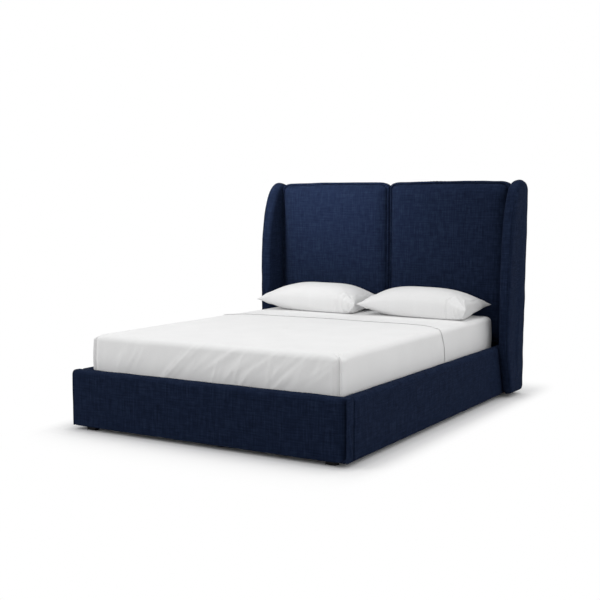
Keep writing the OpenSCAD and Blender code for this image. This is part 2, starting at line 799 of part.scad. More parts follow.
// Outline of the mattress, drawn in by inset, with extra points across the foot side. The
// corners keep their radius where it is drawn in, and grow where it is moved out.
function bed_outline(inset, across) = let (
    r = mattress_corner + max(0, -inset),
    ring = rounded_outline(mattress_w / 2 - inset, mattress_l / 2 - inset, r, r, 0, corner_steps),
    split = 3 * corner_steps + 2, a = ring[split], b = ring[split + 1])
    concat([for (i = [0:split]) ring[i]],
        [for (i = [1:1:across]) a + (b - a) * i / (across + 1)],
        [for (i = [split + 1:len(ring) - 1]) ring[i]]);

// Side of the mattress from its underside to its top, moved out by off, as [inset, height]:
// the lower edge, the bulging side, the upper edge and the slight crown of the top.
function bed_side(off) = let (r = mattress_edge, h = mattress_h - 2 * r, top = mattress_h + off)
    concat(
    [for (a = [-90:30:0]) [r - (r + off) * cos(a), r + (r + off) * sin(a)]],
    [for (k = [0.2, 0.5, 0.8]) [-off - mattress_bulge * sin(180 * k), r + h * k]],
    [for (a = [0:22.5:90]) [r - (r + off) * cos(a), r + h + (r + off) * sin(a)]],
    [[r + 60, top + mattress_crown * 0.6], [r + 230, top + mattress_crown]]);

// Rings of the bed along a side, at the mattress's place. Folds push the foot side out.
function bed_rings(side, across, fold) = [for (p = side) [for (q = bed_outline(p[0], across))
    [q.x, mattress_mid_y + q.y - fold * foot_fold(q, p[1]), mattress_z + p[1]]]];

// Share of the fold depth at a point of the foot side: vertical waves that fade towards the
// top edge, the tuck and the corners.
function foot_fold(q, z) = q.y > mattress_corner - mattress_l / 2 ? 0 :
    let (side = mattress_w / 2 - mattress_corner, x = q.x / side, rise = z / mattress_h)
    abs(x) > 1 || rise < 0 || rise > 1 ? 0
        : (0.5 + 0.5 * sin(180 * fold_count * (x + 0.12 * x * x)))
            * (1 - pow(abs(x), 6)) * sin(180 * pow(rise, 1.6));

module mattress() {
    color(ticking) ring_solid(bed_rings(bed_side(0), 0, 0));
}

// Skin between two offsets of the mattress, closed over the top and hemmed under it. The
// folds of its inner face are the shallower ones.
module bed_skin(off, hem, across, fold) {
    side = bed_side(off);
    inner = [for (i = [len(side) - 1:-1:0]) side[i]];
    under = mattress_edge + hem;
    ring_solid(concat(
        bed_rings(inner, across, 0.35 * fold),
        bed_rings([[under, -off], [under, -off - sheet_t]], across, 0),
        bed_rings(bed_side(off + sheet_t), across, fold)));
}

module fitted_sheet() {
    color(cotton) bed_skin(soft_fit, fitted_hem, 0, 0);
}

// Flat sheet over the foot end of the bed, tucked in on three sides.
module flat_sheet() {
    reach = mattress_w;
    color(cotton) intersection() {
        bed_skin(2 * soft_fit + sheet_t, flat_tuck, 2 * fold_count, fold_depth);
        block([-reach, foot_y, 0], [reach, flat_edge_y, rail_top + mattress_h]);
    }
}

// Point of a pillow at u across and v along, each from -1 to 1, on its upper or lower face.
// The sides draw in between the ears, and the underside is flat where the pillow rests.
function pillow_point(u, v, up) = let (
    swell = pow((1 - pow(abs(u), 2.4)) * (1 - pow(abs(v), 2.4)), 0.5),
    seam = pillow_seam + ear_lift * u * u * v * v,
    z = up ? seam + (pillow_h - pillow_seam) * swell : max(0, seam - 1.5 * pillow_seam * swell))
    [pillow_w / 2 * u - sign(u) * pillow_draw * 0.5 * (1 - v * v) * abs(u),
        pillow_d / 2 * v - sign(v) * pillow_draw * (1 - u * u) * abs(v), z];

// Pillow as rings from the middle of its underside over the seam to the middle of its top.
module pillow(side) {
    n = 10;
    steps = [0.25, 0.5, 0.7, 0.84, 0.94, 1];
    square_ring = concat(
        [for (i = [0:n - 1]) [1, -1 + 2 * i / n]], [for (i = [0:n - 1]) [1 - 2 * i / n, 1]],
        [for (i = [0:n - 1]) [-1, 1 - 2 * i / n]], [for (i = [0:n - 1]) [-1 + 2 * i / n, -1]]);
    ease = [for (q = square_ring) [sin(90 * q.x), sin(90 * q.y)]];
    low = [for (k = steps) [for (q = ease) pillow_point(k * q.x, k * q.y, false)]];
    top = [for (i = [len(steps) - 2:-1:0]) let (k = steps[i])
        [for (q = ease) pillow_point(k * q.x, k * q.y, true)]];
    color(cotton) translate([side * (pillow_gap + pillow_w) / 2,
        cushion_front_y - pillow_back_gap - pillow_d / 2, bed_top + 2 * soft_fit + sheet_t])
        ring_solid(concat(low, top));
}

headboard_post(-1);  // headboard_post_left
headboard_post(1);  // headboard_post_right
headboard_top_rail();
headboard_middle_rail();
headboard_bottom_rail();
headboard_panel();
headboard_back_cover();
cushion_board(-1);  // cushion_board_left
cushion_board(1);  // cushion_board_right
headboard_cushion(-1);  // headboard_cushion_left
headboard_cushion(1);  // headboard_cushion_right
cushion_screws();
wing_board(-1);  // wing_board_left
wing_board(1);  // wing_board_right
wing_cover(-1);  // wing_cover_left
wing_cover(1);  // wing_cover_right
wing_bolts();
wing_tee_nuts();
footboard_board();
footboard_cover();
side_rail_board(-1);  // side_rail_board_left
side_rail_board(1);  // side_rail_board_right
side_rail_cover(-1);  // side_rail_cover_left
side_rail_cover(1);  // side_rail_cover_right
slat_ledger(-1);  // slat_ledger_left
slat_ledger(1);  // slat_ledger_right
corner_brackets();
bracket_bolts();
wood_screws();
centre_beam();
beam_hangers();
centre_leg(leg_y[0]);  // centre_leg_front
centre_leg(leg_y[1]);  // centre_leg_rear
leg_inserts();
levelling_foot(leg_y[0]);  // levelling_foot_front
levelling_foot(leg_y[1]);  // levelling_foot_rear
corner_foot(-1, corner_foot_y[0]);  // corner_foot_front_left
corner_foot(1, corner_foot_y[0]);  // corner_foot_front_right
corner_foot(-1, corner_foot_y[1]);  // corner_foot_rear_left
corner_foot(1, corner_foot_y[1]);  // corner_foot_rear_right
slat_strap(-1);  // slat_strap_left
slat_strap(1);  // slat_strap_right
mattress();
fitted_sheet();
flat_sheet();
pillow(-1);  // pillow_left
pillow(1);  // pillow_right
for (i = [1:slat_count]) slat(i);
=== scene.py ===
"""Upholstered wing bed with its mattress, sheets and pillows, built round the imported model."""
import bmesh
import bpy
import numpy as np
from mathutils import Matrix, Vector


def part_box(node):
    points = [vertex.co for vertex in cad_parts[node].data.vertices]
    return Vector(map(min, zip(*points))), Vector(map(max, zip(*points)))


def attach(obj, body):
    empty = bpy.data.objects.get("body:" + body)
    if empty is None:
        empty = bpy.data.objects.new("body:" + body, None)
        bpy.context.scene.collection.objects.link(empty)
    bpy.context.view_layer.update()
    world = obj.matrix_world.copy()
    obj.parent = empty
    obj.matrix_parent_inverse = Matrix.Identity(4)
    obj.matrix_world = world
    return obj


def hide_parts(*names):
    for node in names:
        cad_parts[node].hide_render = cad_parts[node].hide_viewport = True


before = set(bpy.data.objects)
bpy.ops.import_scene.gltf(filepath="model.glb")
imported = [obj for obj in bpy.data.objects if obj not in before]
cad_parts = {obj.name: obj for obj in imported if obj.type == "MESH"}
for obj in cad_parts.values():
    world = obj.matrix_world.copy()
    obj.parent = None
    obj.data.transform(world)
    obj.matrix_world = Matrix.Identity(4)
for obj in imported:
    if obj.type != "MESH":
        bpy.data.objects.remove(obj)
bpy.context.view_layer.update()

# ----------
# Headboard frame: two posts and three rails of planed pine, screwed together like a ladder.
# It carries the panel, the cushions and the wings, and is closed in when the cover is on.


class Paint:
    """An output of a material's nodes. Arithmetic on it adds Math nodes, add() any other node."""

    def __init__(self, tree, socket=None):
        self.tree, self.socket = tree, socket

    def add(self, kind, settings=(), inputs=(), output=0):
        """Adds a node: its settings first, then the values or links of its inputs."""
        node = self.tree.nodes.new("ShaderNode" + kind)
        for name, value in dict(settings).items():
            if name == "stops":
                for _ in value[2:]:
                    node.color_ramp.elements.new(0.5)
                for element, (place, colour) in zip(node.color_ramp.elements, value):
                    element.position, element.color = place, (*colour, 1)
            else:
                setattr(node, name, value)
        for name, value in dict(inputs).items():
            if isinstance(value, Paint):
                value.into(node.inputs[name])
            else:
                node.inputs[name].default_value = value
        return Paint(self.tree, node.outputs[output])

    def math(self, operation, *others):
        """Math node on this value and, where it takes more, the others."""
        return self.add("Math", {"operation": operation}, enumerate((self, *others)))

    def __add__(self, other):
        return self.math("ADD", other)

    def __sub__(self, other):
        return self.math("SUBTRACT", other)

    def __rsub__(self, other):
        return self.math("MULTIPLY_ADD", -1.0, other)

    def __mul__(self, other):
        return self.math("MULTIPLY", other)

    __radd__ = __add__
    __rmul__ = __mul__

    def ramp(self, *stops):
        """Colour from this value, between stops of (place, colour)."""
        return self.add("ValToRGB", {"stops": stops}, {"Fac": self})

    def noise(self, scale, detail=2.0, roughness=0.5):
        """Noise at this position, from 0 to 1."""
        return self.add("TexNoise", {}, {"Vector": self, "Scale": scale, "Detail": detail,
                                         "Roughness": roughness})

    def part(self, axis):
        """One part of this position: 0, 1 or 2."""
        return self.add("SeparateXYZ", {}, {0: self}, axis)

    def place(self):
        """Place on the object, in metres."""
        return self.add("TexCoord", output=3)

    def own_map(self):
        """Place on the piece's own map, in metres."""
        return self.add("UVMap", {"uv_map": "cloth"})

    def waves(self, frequency):
        """Product of two sine waves, one along each of this position's first two parts."""
        return (self.part(0) * frequency).math("SINE") * (self.part(1) * frequency).math("SINE")

    def stretched(self, *scale):
        """This position with each axis multiplied."""
        return self.add("Mapping", {}, {"Vector": self, "Scale": scale})

    def bump(self, distance, strength=1.0):
        """Normal from this height, where 1 stands for this many metres."""
        return self.add("Bump", {}, {"Height": self, "Distance": distance, "Strength": strength})

    def into(self, socket):
        """Links this output to the socket of another node."""
        self.tree.links.new(self.socket, socket)


def finish(name, paint_it, **shader):
    """Material whose Principled shader has these uniform values, and the links that paint_it
    returns for the inputs that vary."""
    material = bpy.data.materials.new(name)
    material.use_nodes = True
    sockets = material.node_tree.nodes["Principled BSDF"].inputs
    for key, value in shader.items():
        sockets[key.replace("_", " ")].default_value = value
    for key, paint in paint_it(Paint(material.node_tree)).items():
        paint.into(sockets[key])
    return material


def wood(name, along, dark, pale):
    """Planed timber whose grain runs along one axis: streaks of early and late wood drawn out
    along it, and fine pores."""
    def paint(tree):
        grain = tree.place().stretched(*[0.04 if axis == along else 1.0 for axis in "xyz"])
        pores = grain.noise(450.0)
        streaks = grain.noise(60.0, 4.0, 0.6) * 0.8 + pores * 0.2
        middle = [0.5 * (a + b) for a, b in zip(dark, pale)]
        return {"Base Color": streaks.ramp((0.35, dark), (0.5, middle), (0.64, pale)),
                "Roughness": pores * 0.3 + 0.45, "Normal": pores.bump(0.0004, 0.6)}
    return finish(name, paint, Specular_IOR_Level=0.3)


pine = {axis: wood("pine_" + axis, axis, (0.50, 0.30, 0.14), (0.74, 0.54, 0.32))
        for axis in "xyz"}


def dress(material, slot, *nodes):
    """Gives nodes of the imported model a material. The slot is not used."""
    for name in nodes:
        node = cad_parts[name]
        node.data.materials.clear()
        node.data.materials.append(material)


dress(pine["z"], "timber", "headboard_post_left", "headboard_post_right")
dress(pine["x"], "timber", "headboard_top_rail", "headboard_middle_rail", "headboard_bottom_rail")

# ----------
# Headboard panel and back cover: plywood wrapped in navy cloth across the front, and a thin
# padded cover of the same cloth that closes the back and folds over the top edge to the panel.

NAVY_DARK, NAVY, NAVY_PALE = [(0.0050, 0.0087, 0.0215), (0.0090, 0.0153, 0.0370),
                              (0.0172, 0.0275, 0.0578)]


def navy_cloth(name, across=None):
    """Woven linen-look cloth. across names the two axes that it lies along; without it, it
    follows the piece's own map in metres. The weave is a product of two fine sine waves, and
    slubs are noise drawn out along each thread direction."""
    def paint(tree):
        if across:
            parts = [tree.place().part("xyz".index(axis)) for axis in across]
            cloth = tree.add("CombineXYZ", {}, {"X": parts[0], "Y": parts[1]})
        else:
            cloth = tree.own_map()
        weft = cloth.stretched(10.0, 140.0, 1.0).noise(1.0, 4.0, 0.6)
        warp = cloth.stretched(125.0, 9.0, 1.0).noise(1.0, 4.0, 0.6)
        cloudy = cloth.noise(30.0, 3.0)
        weave = cloth.waves(4200.0)
        tone = weft * 0.38 + warp * 0.40 + cloudy * 0.22 + weave * 0.02
        height = weave * 0.5 + weft * 1.2 + warp
        return {"Base Color": tone.ramp((0.36, NAVY_DARK), (0.50, NAVY), (0.66, NAVY_PALE)),
                "Roughness": weft * 0.15 + 0.82, "Normal": height.bump(0.0007, 0.7)}
    return finish(name, paint, Specular_IOR_Level=0.02, Sheen_Weight=0.02, Sheen_Roughness=0.5,
                  Sheen_Tint=(0.3, 0.45, 0.9, 1))


navy = navy_cloth("navy_cloth")
dress(navy_cloth("navy_panel", "xz"), "upholstery", "headboard_panel")


def unevenness(points, wavelength, seed):
    """Smooth height at each point, about -1 to 1: the sum of twelve sine waves in directions,
    phases and wavelengths drawn at random near the one given."""
    draw = np.random.default_rng(seed)
    ways = draw.normal(size=(12, 3))
    ways *= (2 * np.pi / wavelength * draw.uniform(0.7, 1.5, 12)
             / np.linalg.norm(ways, axis=1))[:, None]
    return np.sin(points @ ways.T + draw.uniform(0, 2 * np.pi, 12)).sum(-1) / 4


def outwards(points, ring=True):
    """Unit normal at each point of a grid: the cross product of its two directions, turned
    away from the middle of all points."""
    if ring:
        across = np.roll(points, -1, 1) - np.roll(points, 1, 1)
    else:
        across = np.gradient(points, axis=1)
    normal = np.cross(across, np.gradient(points, axis=0))
    normal /= np.linalg.norm(normal, axis=-1, keepdims=True) + 1e-12
    return normal * np.sign((normal * (points - points.mean((0, 1)))).sum())


def over_grid(*parts):
    """Points, or a cloth map, from parts that are each stretched over the whole grid."""
    return np.stack(np.broadcast_arrays(*parts), -1)


def sew(mesh, open_edges=False):
    """Merges the points that meet and turns all faces outwards. With open_edges only points on
    those are merged, and the faces are only made to agree."""
    solid = bmesh.new()
    solid.from_mesh(mesh)
    points = [v for v in solid.verts if v.is_boundary or not open_edges]
    bmesh.ops.remove_doubles(solid, verts=points, dist=1e-5)
    bmesh.ops.recalc_face_normals(solid, faces=solid.faces)
    middle = sum((v.co for v in solid.verts), Vector()) / len(solid.verts)
    if not open_edges and sum((face.calc_center_median() - middle).dot(face.normal)
                              * face.calc_area() for face in solid.faces) < 0:
        bmesh.ops.reverse_faces(solid, faces=solid.faces)
    solid.to_mesh(mesh)
    solid.free()


def skin(name, points, bands, body="frame", ring=True, caps=None, material=navy):
    """Piece whose faces join rows of points. A ring joins each row's end to its start. bands
    are (first row, cloth map) from the first row on, each map with the row that ends the band
    and, on a ring, one more column. caps names the axes of the map on the two end faces."""
    rows, columns = points.shape[:2]
    wide = columns if ring else columns - 1
    row, column = np.arange(rows - 1)[:, None], np.arange(wide)[None]
    following = (column + 1) % columns
    faces = np.stack([row * columns + column, row * columns + following,
                      (row + 1) * columns + following, (row + 1) * columns + column], -1)
    cloth = np.zeros((rows - 1, wide, 4, 2))
    for first, place in bands:
        cloth[first:first + len(place) - 1] = np.stack(
            [place[:-1, :-1], place[:-1, 1:], place[1:, 1:], place[1:, :-1]], 2)
    polygons, cloth = faces.reshape(-1, 4).tolist(), [cloth.reshape(-1, 2)]
    if caps:
        for end, order in ((0, -1), (rows - 1, 1)):
            polygons.append((end * columns + np.arange(columns)[::order]).tolist())
            cloth.append(points[end, ::order][:, ["xyz".index(axis) for axis in caps]])
    mesh = bpy.data.meshes.new(name)
    mesh.from_pydata(points.reshape(-1, 3).tolist(), [], polygons)
    mesh.uv_layers.new(name="cloth").data.foreach_set("uv", np.concatenate(cloth).ravel())
    sew(mesh)
    return piece(name, mesh, material, body)


def piece(name, mesh, material, body):
    """Object at the origin for a mesh in its place, smooth, with its material and body."""
    mesh.polygons.foreach_set("use_smooth", np.ones(len(mesh.polygons), bool))
    mesh.materials.append(material)
    made = bpy.data.objects.new(name, mesh)
    bpy.context.scene.collection.objects.link(made)
    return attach(made, body)


def rounded_loop(corners, radii, step):
    """Closed outline with square corners, each turned by an arc of its radius, and a point at
    least every step along its straights."""
    corners, loop, arcs = np.array(corners, float), [], []
    turn = np.linspace(0, np.pi / 2, 7)[:, None]
    for before, corner, after, radius in zip(np.roll(corners, 1, 0), corners,
                                             np.roll(corners, -1, 0), radii):
        a, b = [(end - corner) / np.linalg.norm(end - corner) for end in (before, after)]
        arcs.append(corner + radius * (a + b - b * np.cos(turn) - a * np.sin(turn))
                    if radius else corner[None])
    for arc, following in zip(arcs, arcs[1:] + arcs[:1]):
        reach = following[0] - arc[-1]
        count = max(1, int(np.ceil(np.linalg.norm(reach) / step)))
        loop += [arc, arc[-1] + reach * (np.arange(1, count) / count)[:, None]]
    return np.concatenate(loop)


def run_along(loop):
    """Distance along a closed outline at each of its points, and at its end."""
    steps = np.linalg.norm(np.roll(loop, -1, 0) - loop, axis=1)
    return np.concatenate([[0], np.cumsum(steps)])


def drawn_in(loop, depth):
    """A closed anticlockwise outline moved inwards along its normals."""
    along = np.roll(loop, -1, 0) - np.roll(loop, 1, 0)
    inward = np.stack([-along[:, 1], along[:, 0]], 1)
    return loop + depth * inward / (np.linalg.norm(inward, axis=1, keepdims=True) + 1e-9)


def sleeve(loop, stations, insets):
    """Rows of points that carry an outline along a straight way, drawn in at each station."""
    return np.stack([np.column_stack([np.full(len(loop), at), drawn_in(loop, inset)])
                     for at, inset in zip(stations, insets)])


def cover(name, rows, axes, node, bulge, seed):
    """Padded cover from a sleeve's rows. axes puts the way, and the outline's two directions,
    on x, y and z; bulge gives how far each point stands out."""
    points = rows[..., axes]
    raised = bulge(points) + 0.0006 * unevenness(points, 0.17, seed)
    points = points + outwards(points) * raised[..., None]
    place = over_grid(rows[:, :1, 0], run_along(rows[len(rows) // 2][:, 1:])[None])
    made = skin(name, points, [(0, place)],
                caps="xyz".replace("xyz"[axes.index(0)], ""))
    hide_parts(node)
    return made


def ends_rounded(low, high, radii, step, extra=()):
    """Stations from low to high, with extra ones, and how far each is drawn in: both ends are
    quarter circles."""
    arc = 1 - np.sin(np.linspace(0, np.pi / 2, 6))
    middle = np.arange(low + radii[0] + step / 2, high - radii[1] - step / 3, step)
    stations = np.sort(np.concatenate(
        [low + radii[0] * arc, middle, high - radii[1] * arc, extra]))
    into = [np.clip((radius - away) / radius, 0, 1) for radius, away in
            ((radii[0], stations - low), (radii[1], high - stations))]
    return stations, sum(radius * (1 - np.sqrt(1 - part ** 2))
                         for radius, part in zip(radii, into))


BACK_T, FLAP = 0.008, np.array([0.0002, 0.0006])
low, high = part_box("headboard_back_cover")
panel_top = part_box("headboard_panel")[1].z
shell = rounded_loop(
    [(low.y, panel_top), (high.y - BACK_T, panel_top), (high.y - BACK_T, low.z),
     (high.y, low.z), (high.y, high.z), (low.y, high.z)], [0, 0, 0, 0.002, 0.0075, 0.006], 0.012)
stations, insets = ends_rounded(low.x, high.x, (0.0005, 0.0005), 0.012)
stations = np.concatenate([low.x - FLAP[::-1], stations, high.x + FLAP])
insets = np.concatenate([[0, 0], insets, [0, 0]])
rows = sleeve(shell, stations, insets)

# At each end two more rows close the hollow of the shell with a flap over the post's side:
# there the inner line of the section is folded onto its outer line.
inner_y, drop = high.y - BACK_T - low.y, panel_top - low.z
hollow = (shell[:, 0] < low.y + inner_y + 1e-6) & (shell[:, 1] < panel_top + 1e-6)
ledge = shell[:, 1] > panel_top - 1e-6
flap = np.column_stack([low.y + np.where(ledge, 0, inner_y * (panel_top - shell[:, 1]) / drop),
                        panel_top - drop * np.where(ledge, (shell[:, 0] - low.y) / inner_y, 1)])
for end in (0, 1, -2, -1):
    rows[end, hollow, 1:] = flap[hollow]
cover("headboard_back", rows, [0, 1, 2], "headboard_back_cover",
      lambda p: 0.0012 * (p[..., 1] > high.y - 0.004) * unevenness(p, 0.6, 3), 11)

# ----------
# Headboard cushions: foam on a plywood board that is screwed on from behind. The cloth has a
# boxed border that bulges a little, a corded seam round the front and a crowned front face.

plywood = wood("plywood_z", "z", (0.58, 0.42, 0.26), (0.76, 0.62, 0.44))
dress(plywood, "plywood", "cushion_board_left", "cushion_board_right")


def hard(name, grain, dark, pale, rough, bump=None, **shader):
    """Metal, paint or moulding with a fine grain, a noise with these values. It runs from the
    dark to the pale tone, adds to the roughness, and stands up by (distance, strength)."""
    def paint(tree):
        grains = tree.place().noise(*grain)
        varied = {"Base Color": grains.ramp((0.3, dark), (0.7, pale)),
                  "Roughness": grains * rough[0] + rough[1]}
        return {**varied, "Normal": grains.bump(*bump)} if bump else varied
    return finish(name, paint, **shader)


zinc = hard("zinc_plate", (160.0, 4.0), (0.42, 0.43, 0.44), (0.62, 0.63, 0.65), (0.25, 0.25),
            Metallic=1.0)
dress(zinc, "zinc_steel", "cushion_screws")


def rounded_rows(half_w, half_h, upper, lower, steps):
    """Rounded rectangles, one per row, anticlockwise from the lower right corner. A corner is
    a quarter of an ellipse, given by its reach across and up. steps are the parts of a corner,
    of the two upright sides and of the two level ones."""
    half_w, half_h, *reach = [np.asarray(a, float)[:, None] for a in np.broadcast_arrays(
        half_w, half_h, *upper, *lower)]
    upper, lower, arcs, loop = reach[:2], reach[2:], [], []
    for quarter, (sx, sy, (across, up)) in enumerate(
            [(1, -1, lower), (1, 1, upper), (-1, 1, upper), (-1, -1, lower)]):
        angle = np.linspace(0, np.pi / 2, steps[0] + 1) + (quarter - 1) * np.pi / 2
        arcs.append(np.stack([sx * (half_w - across) + across * np.cos(angle),
                              sy * (half_h - up) + up * np.sin(angle)], -1))
    for side, arc in enumerate(arcs):
        count = steps[1 + side % 2]
        share = (np.arange(1, count) / count)[None, :, None]
        loop += [arc, arc[:, -1:] + (arcs[(side + 1) % 4][:, :1] - arc[:, -1:]) * share]
    return np.concatenate(loop, 1)


# Each (inset, depth) in mm from the back to the face: the border, widest at WIDEST_ROW, its
# rounded arris, the seam's groove at SEAM_ROW, and the rise of the crown to FACE_DEPTH.
CUSHION_PROFILE = np.array([
    (45, -0.3), (12, 0), (6, 0.4), (2.4, 3), (0.8, 9), (0.2, 16), (0, 23), (0.3, 30), (1.2, 36.5),
    (3, 42.5), (5.6, 45.6), (8.6, 47.2), (11.4, 46.6), (13.6, 43.8), (15.2, 40.2), (16.4, 38),
    (17.6, 40.4), (19.4, 45.4), (22, 50.2), (27, 56.0), (34, 61.4), (43, 67), (54, 72.4),
    (67, 76.8), (82, 79.6)]) / 1000
WIDEST_ROW, SEAM_ROW, FACE_ROWS, FACE_DEPTH = 6, 15, 24, 0.0808


def cushion(side, word):
    """One cushion: rounded rectangles drawn in from the border to the middle of the front."""
    low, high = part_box("headboard_cushion_" + word)
    middle, half_w, half_h = (low + high) / 2, (high.x - low.x) / 2, (high.z - low.z) / 2
    inset = np.concatenate([CUSHION_PROFILE[:, 0], np.linspace(0.1, half_w, FACE_ROWS)])
    depth = np.concatenate([CUSHION_PROFILE[:, 1], np.full(FACE_ROWS, FACE_DEPTH)])
    short = np.minimum(half_w - inset, half_h - inset)
    upper = 0.030 + 0.042 * np.exp(-inset / 0.03), 0.038 - 0.008 * np.exp(-inset / 0.012)
    lower = 0.020 + 0.030 * np.exp(-inset / 0.07)
    rows = rounded_rows(half_w - inset, half_h - inset, [np.minimum(short, a) for a in upper],
                        [np.minimum(short, lower)] * 2, (20, 150, 120))
    points = over_grid(rows[..., 0] + middle.x, high.y - depth[:, None], rows[..., 1] + middle.z)
    across, up = rows[..., 0] / half_w, rows[..., 1] / half_h
    face = np.arange(len(inset))[:, None] > SEAM_ROW
    points[..., 1] -= face * 0.0035 * (1 - across ** 2) * (1 - up ** 4)
    points[..., 2] += (0.0055 * (1 - across ** 2) - 0.0012) * np.clip(up, 0, 1) ** 3
    run, widest = run_along(rows[WIDEST_ROW]), points[WIDEST_ROW]
    from_seam = np.abs(np.stack([inset, depth], 1) - CUSHION_PROFILE[SEAM_ROW]).sum(1)[:, None]
    pull = np.sin(run[:-1] / 0.023 * 2 * np.pi + 2.4 * unevenness(widest, 0.2, 5 + side))
    pucker = 0.0009 * pull * np.exp(-from_seam / 0.016) * (0.35 + unevenness(widest, 0.35, 9) ** 2)
    border = (np.arange(len(inset)) > 1)[:, None]
    raised = border * (pucker + 0.0008 * unevenness(points, 0.16, 21 + side))
    points += outwards(points) * raised[..., None]
    strip = over_grid(run[None], depth[:SEAM_ROW + 1, None])
    front = np.concatenate([points, points[:, :1]], 1)[SEAM_ROW:][:, :, [0, 2]]
    made = skin("cushion_" + word, points, [(0, strip), (SEAM_ROW, front)])
    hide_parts("headboard_cushion_" + word)


cushion(-1, "left")
cushion(1, "right")

# ----------
# Wings: a plywood core in wadding and cloth, bolted through the posts. A rounded band turns
# towards the cushions, and a welt follows the outer arris and dies out under the domed top.

dress(plywood, "plywood", "wing_board_left", "wing_board_right")
dress(zinc, "zinc_steel", "wing_bolts", "wing_tee_nuts")

# A wing is WING_D deep, and its peak lies WING_PEAK in front of its back, whose top is WING_BACK
# below the peak. Its front leans back above WING_LEAN, and below WING_LOW by WING_LOW_BACK.
WING_D, WING_PEAK, WING_BACK, WING_LEAN = 0.319, 0.100, 0.070, 0.430
WING_LOW, WING_LOW_BACK, WING_CORNER, WING_T = 0.350, 0.090, 0.040, 0.066


def evenly(line, count):
    """A closed line of points taken again at equal distances."""
    run = run_along(line)
    closed = np.concatenate([line, line[:1]])
    at = np.arange(count) / count * run[-1]
    return np.stack([np.interp(at, run, closed[:, k]) for k in (0, 1)], 1)


def wing_outline(bottom, top):
    """Outline of a wing as (distance in front of its back, height): an arc, the front edge
    drawn back towards the floor by a power of 1.4, a superellipse up to the peak, an ellipse
    down to the straight back, and an arc."""
    quarter = np.linspace(0, np.pi / 2, 40)

    def front(z):
        return WING_D - WING_LOW_BACK * (np.maximum(0, WING_LOW - z) / (WING_LOW - bottom)) ** 1.4
    z = np.linspace(bottom + WING_CORNER, WING_LEAN, 60)[:-1]
    parts = [
        (front(bottom + WING_CORNER) - WING_CORNER + WING_CORNER * np.sin(quarter),
         bottom + WING_CORNER * (1 - np.cos(quarter))),
        (front(z), z),
        (WING_PEAK + (WING_D - WING_PEAK) * np.cos(quarter),
         WING_LEAN + (top - WING_LEAN) * np.sin(quarter) ** (2 / 3.5)),
        (WING_PEAK * (1 - np.sin(quarter)), top - WING_BACK * (1 - np.cos(quarter))),
        (WING_CORNER * (1 - np.cos(quarter)), bottom + WING_CORNER * (1 - np.sin(quarter)))]
    return evenly(np.concatenate([np.stack(p, 1) for p in parts]), 430)


# Each (inset, place across) in mm from the inner face to the outer one: the rounded band, the
# welt between two grooves in WELT_ROWS, the first of them at WELT_SEAM, and the outer face.
# Where the welt dies out, its rows lie at the insets of WELT_FLAT.
WING_PROFILE = np.array([
    (30, 0), (26, 0), (19, 1.0), (13.5, 3.2), (9, 6.4), (5.6, 10.5), (3, 16), (1.4, 22), (0.4, 29),
    (0, 35), (0.3, 40), (1.2, 45), (2.6, 49.5), (4.8, 52.8), (8.8, 54.0), (4.6, 55.0), (2.8, 56.8),
    (4.2, 58.6), (9.0, 59.8), (9.2, 60.6), (11, 62), (14.5, 63.6), (20, 65.1), (29, 66.3),
    (42, 67.2)]) / 1000
WELT_ROWS, WELT_SEAM = slice(13, 20), 14
WELT_FLAT = np.interp(np.arange(13, 20), [13, 20], [4.6, 9.6]) / 1000


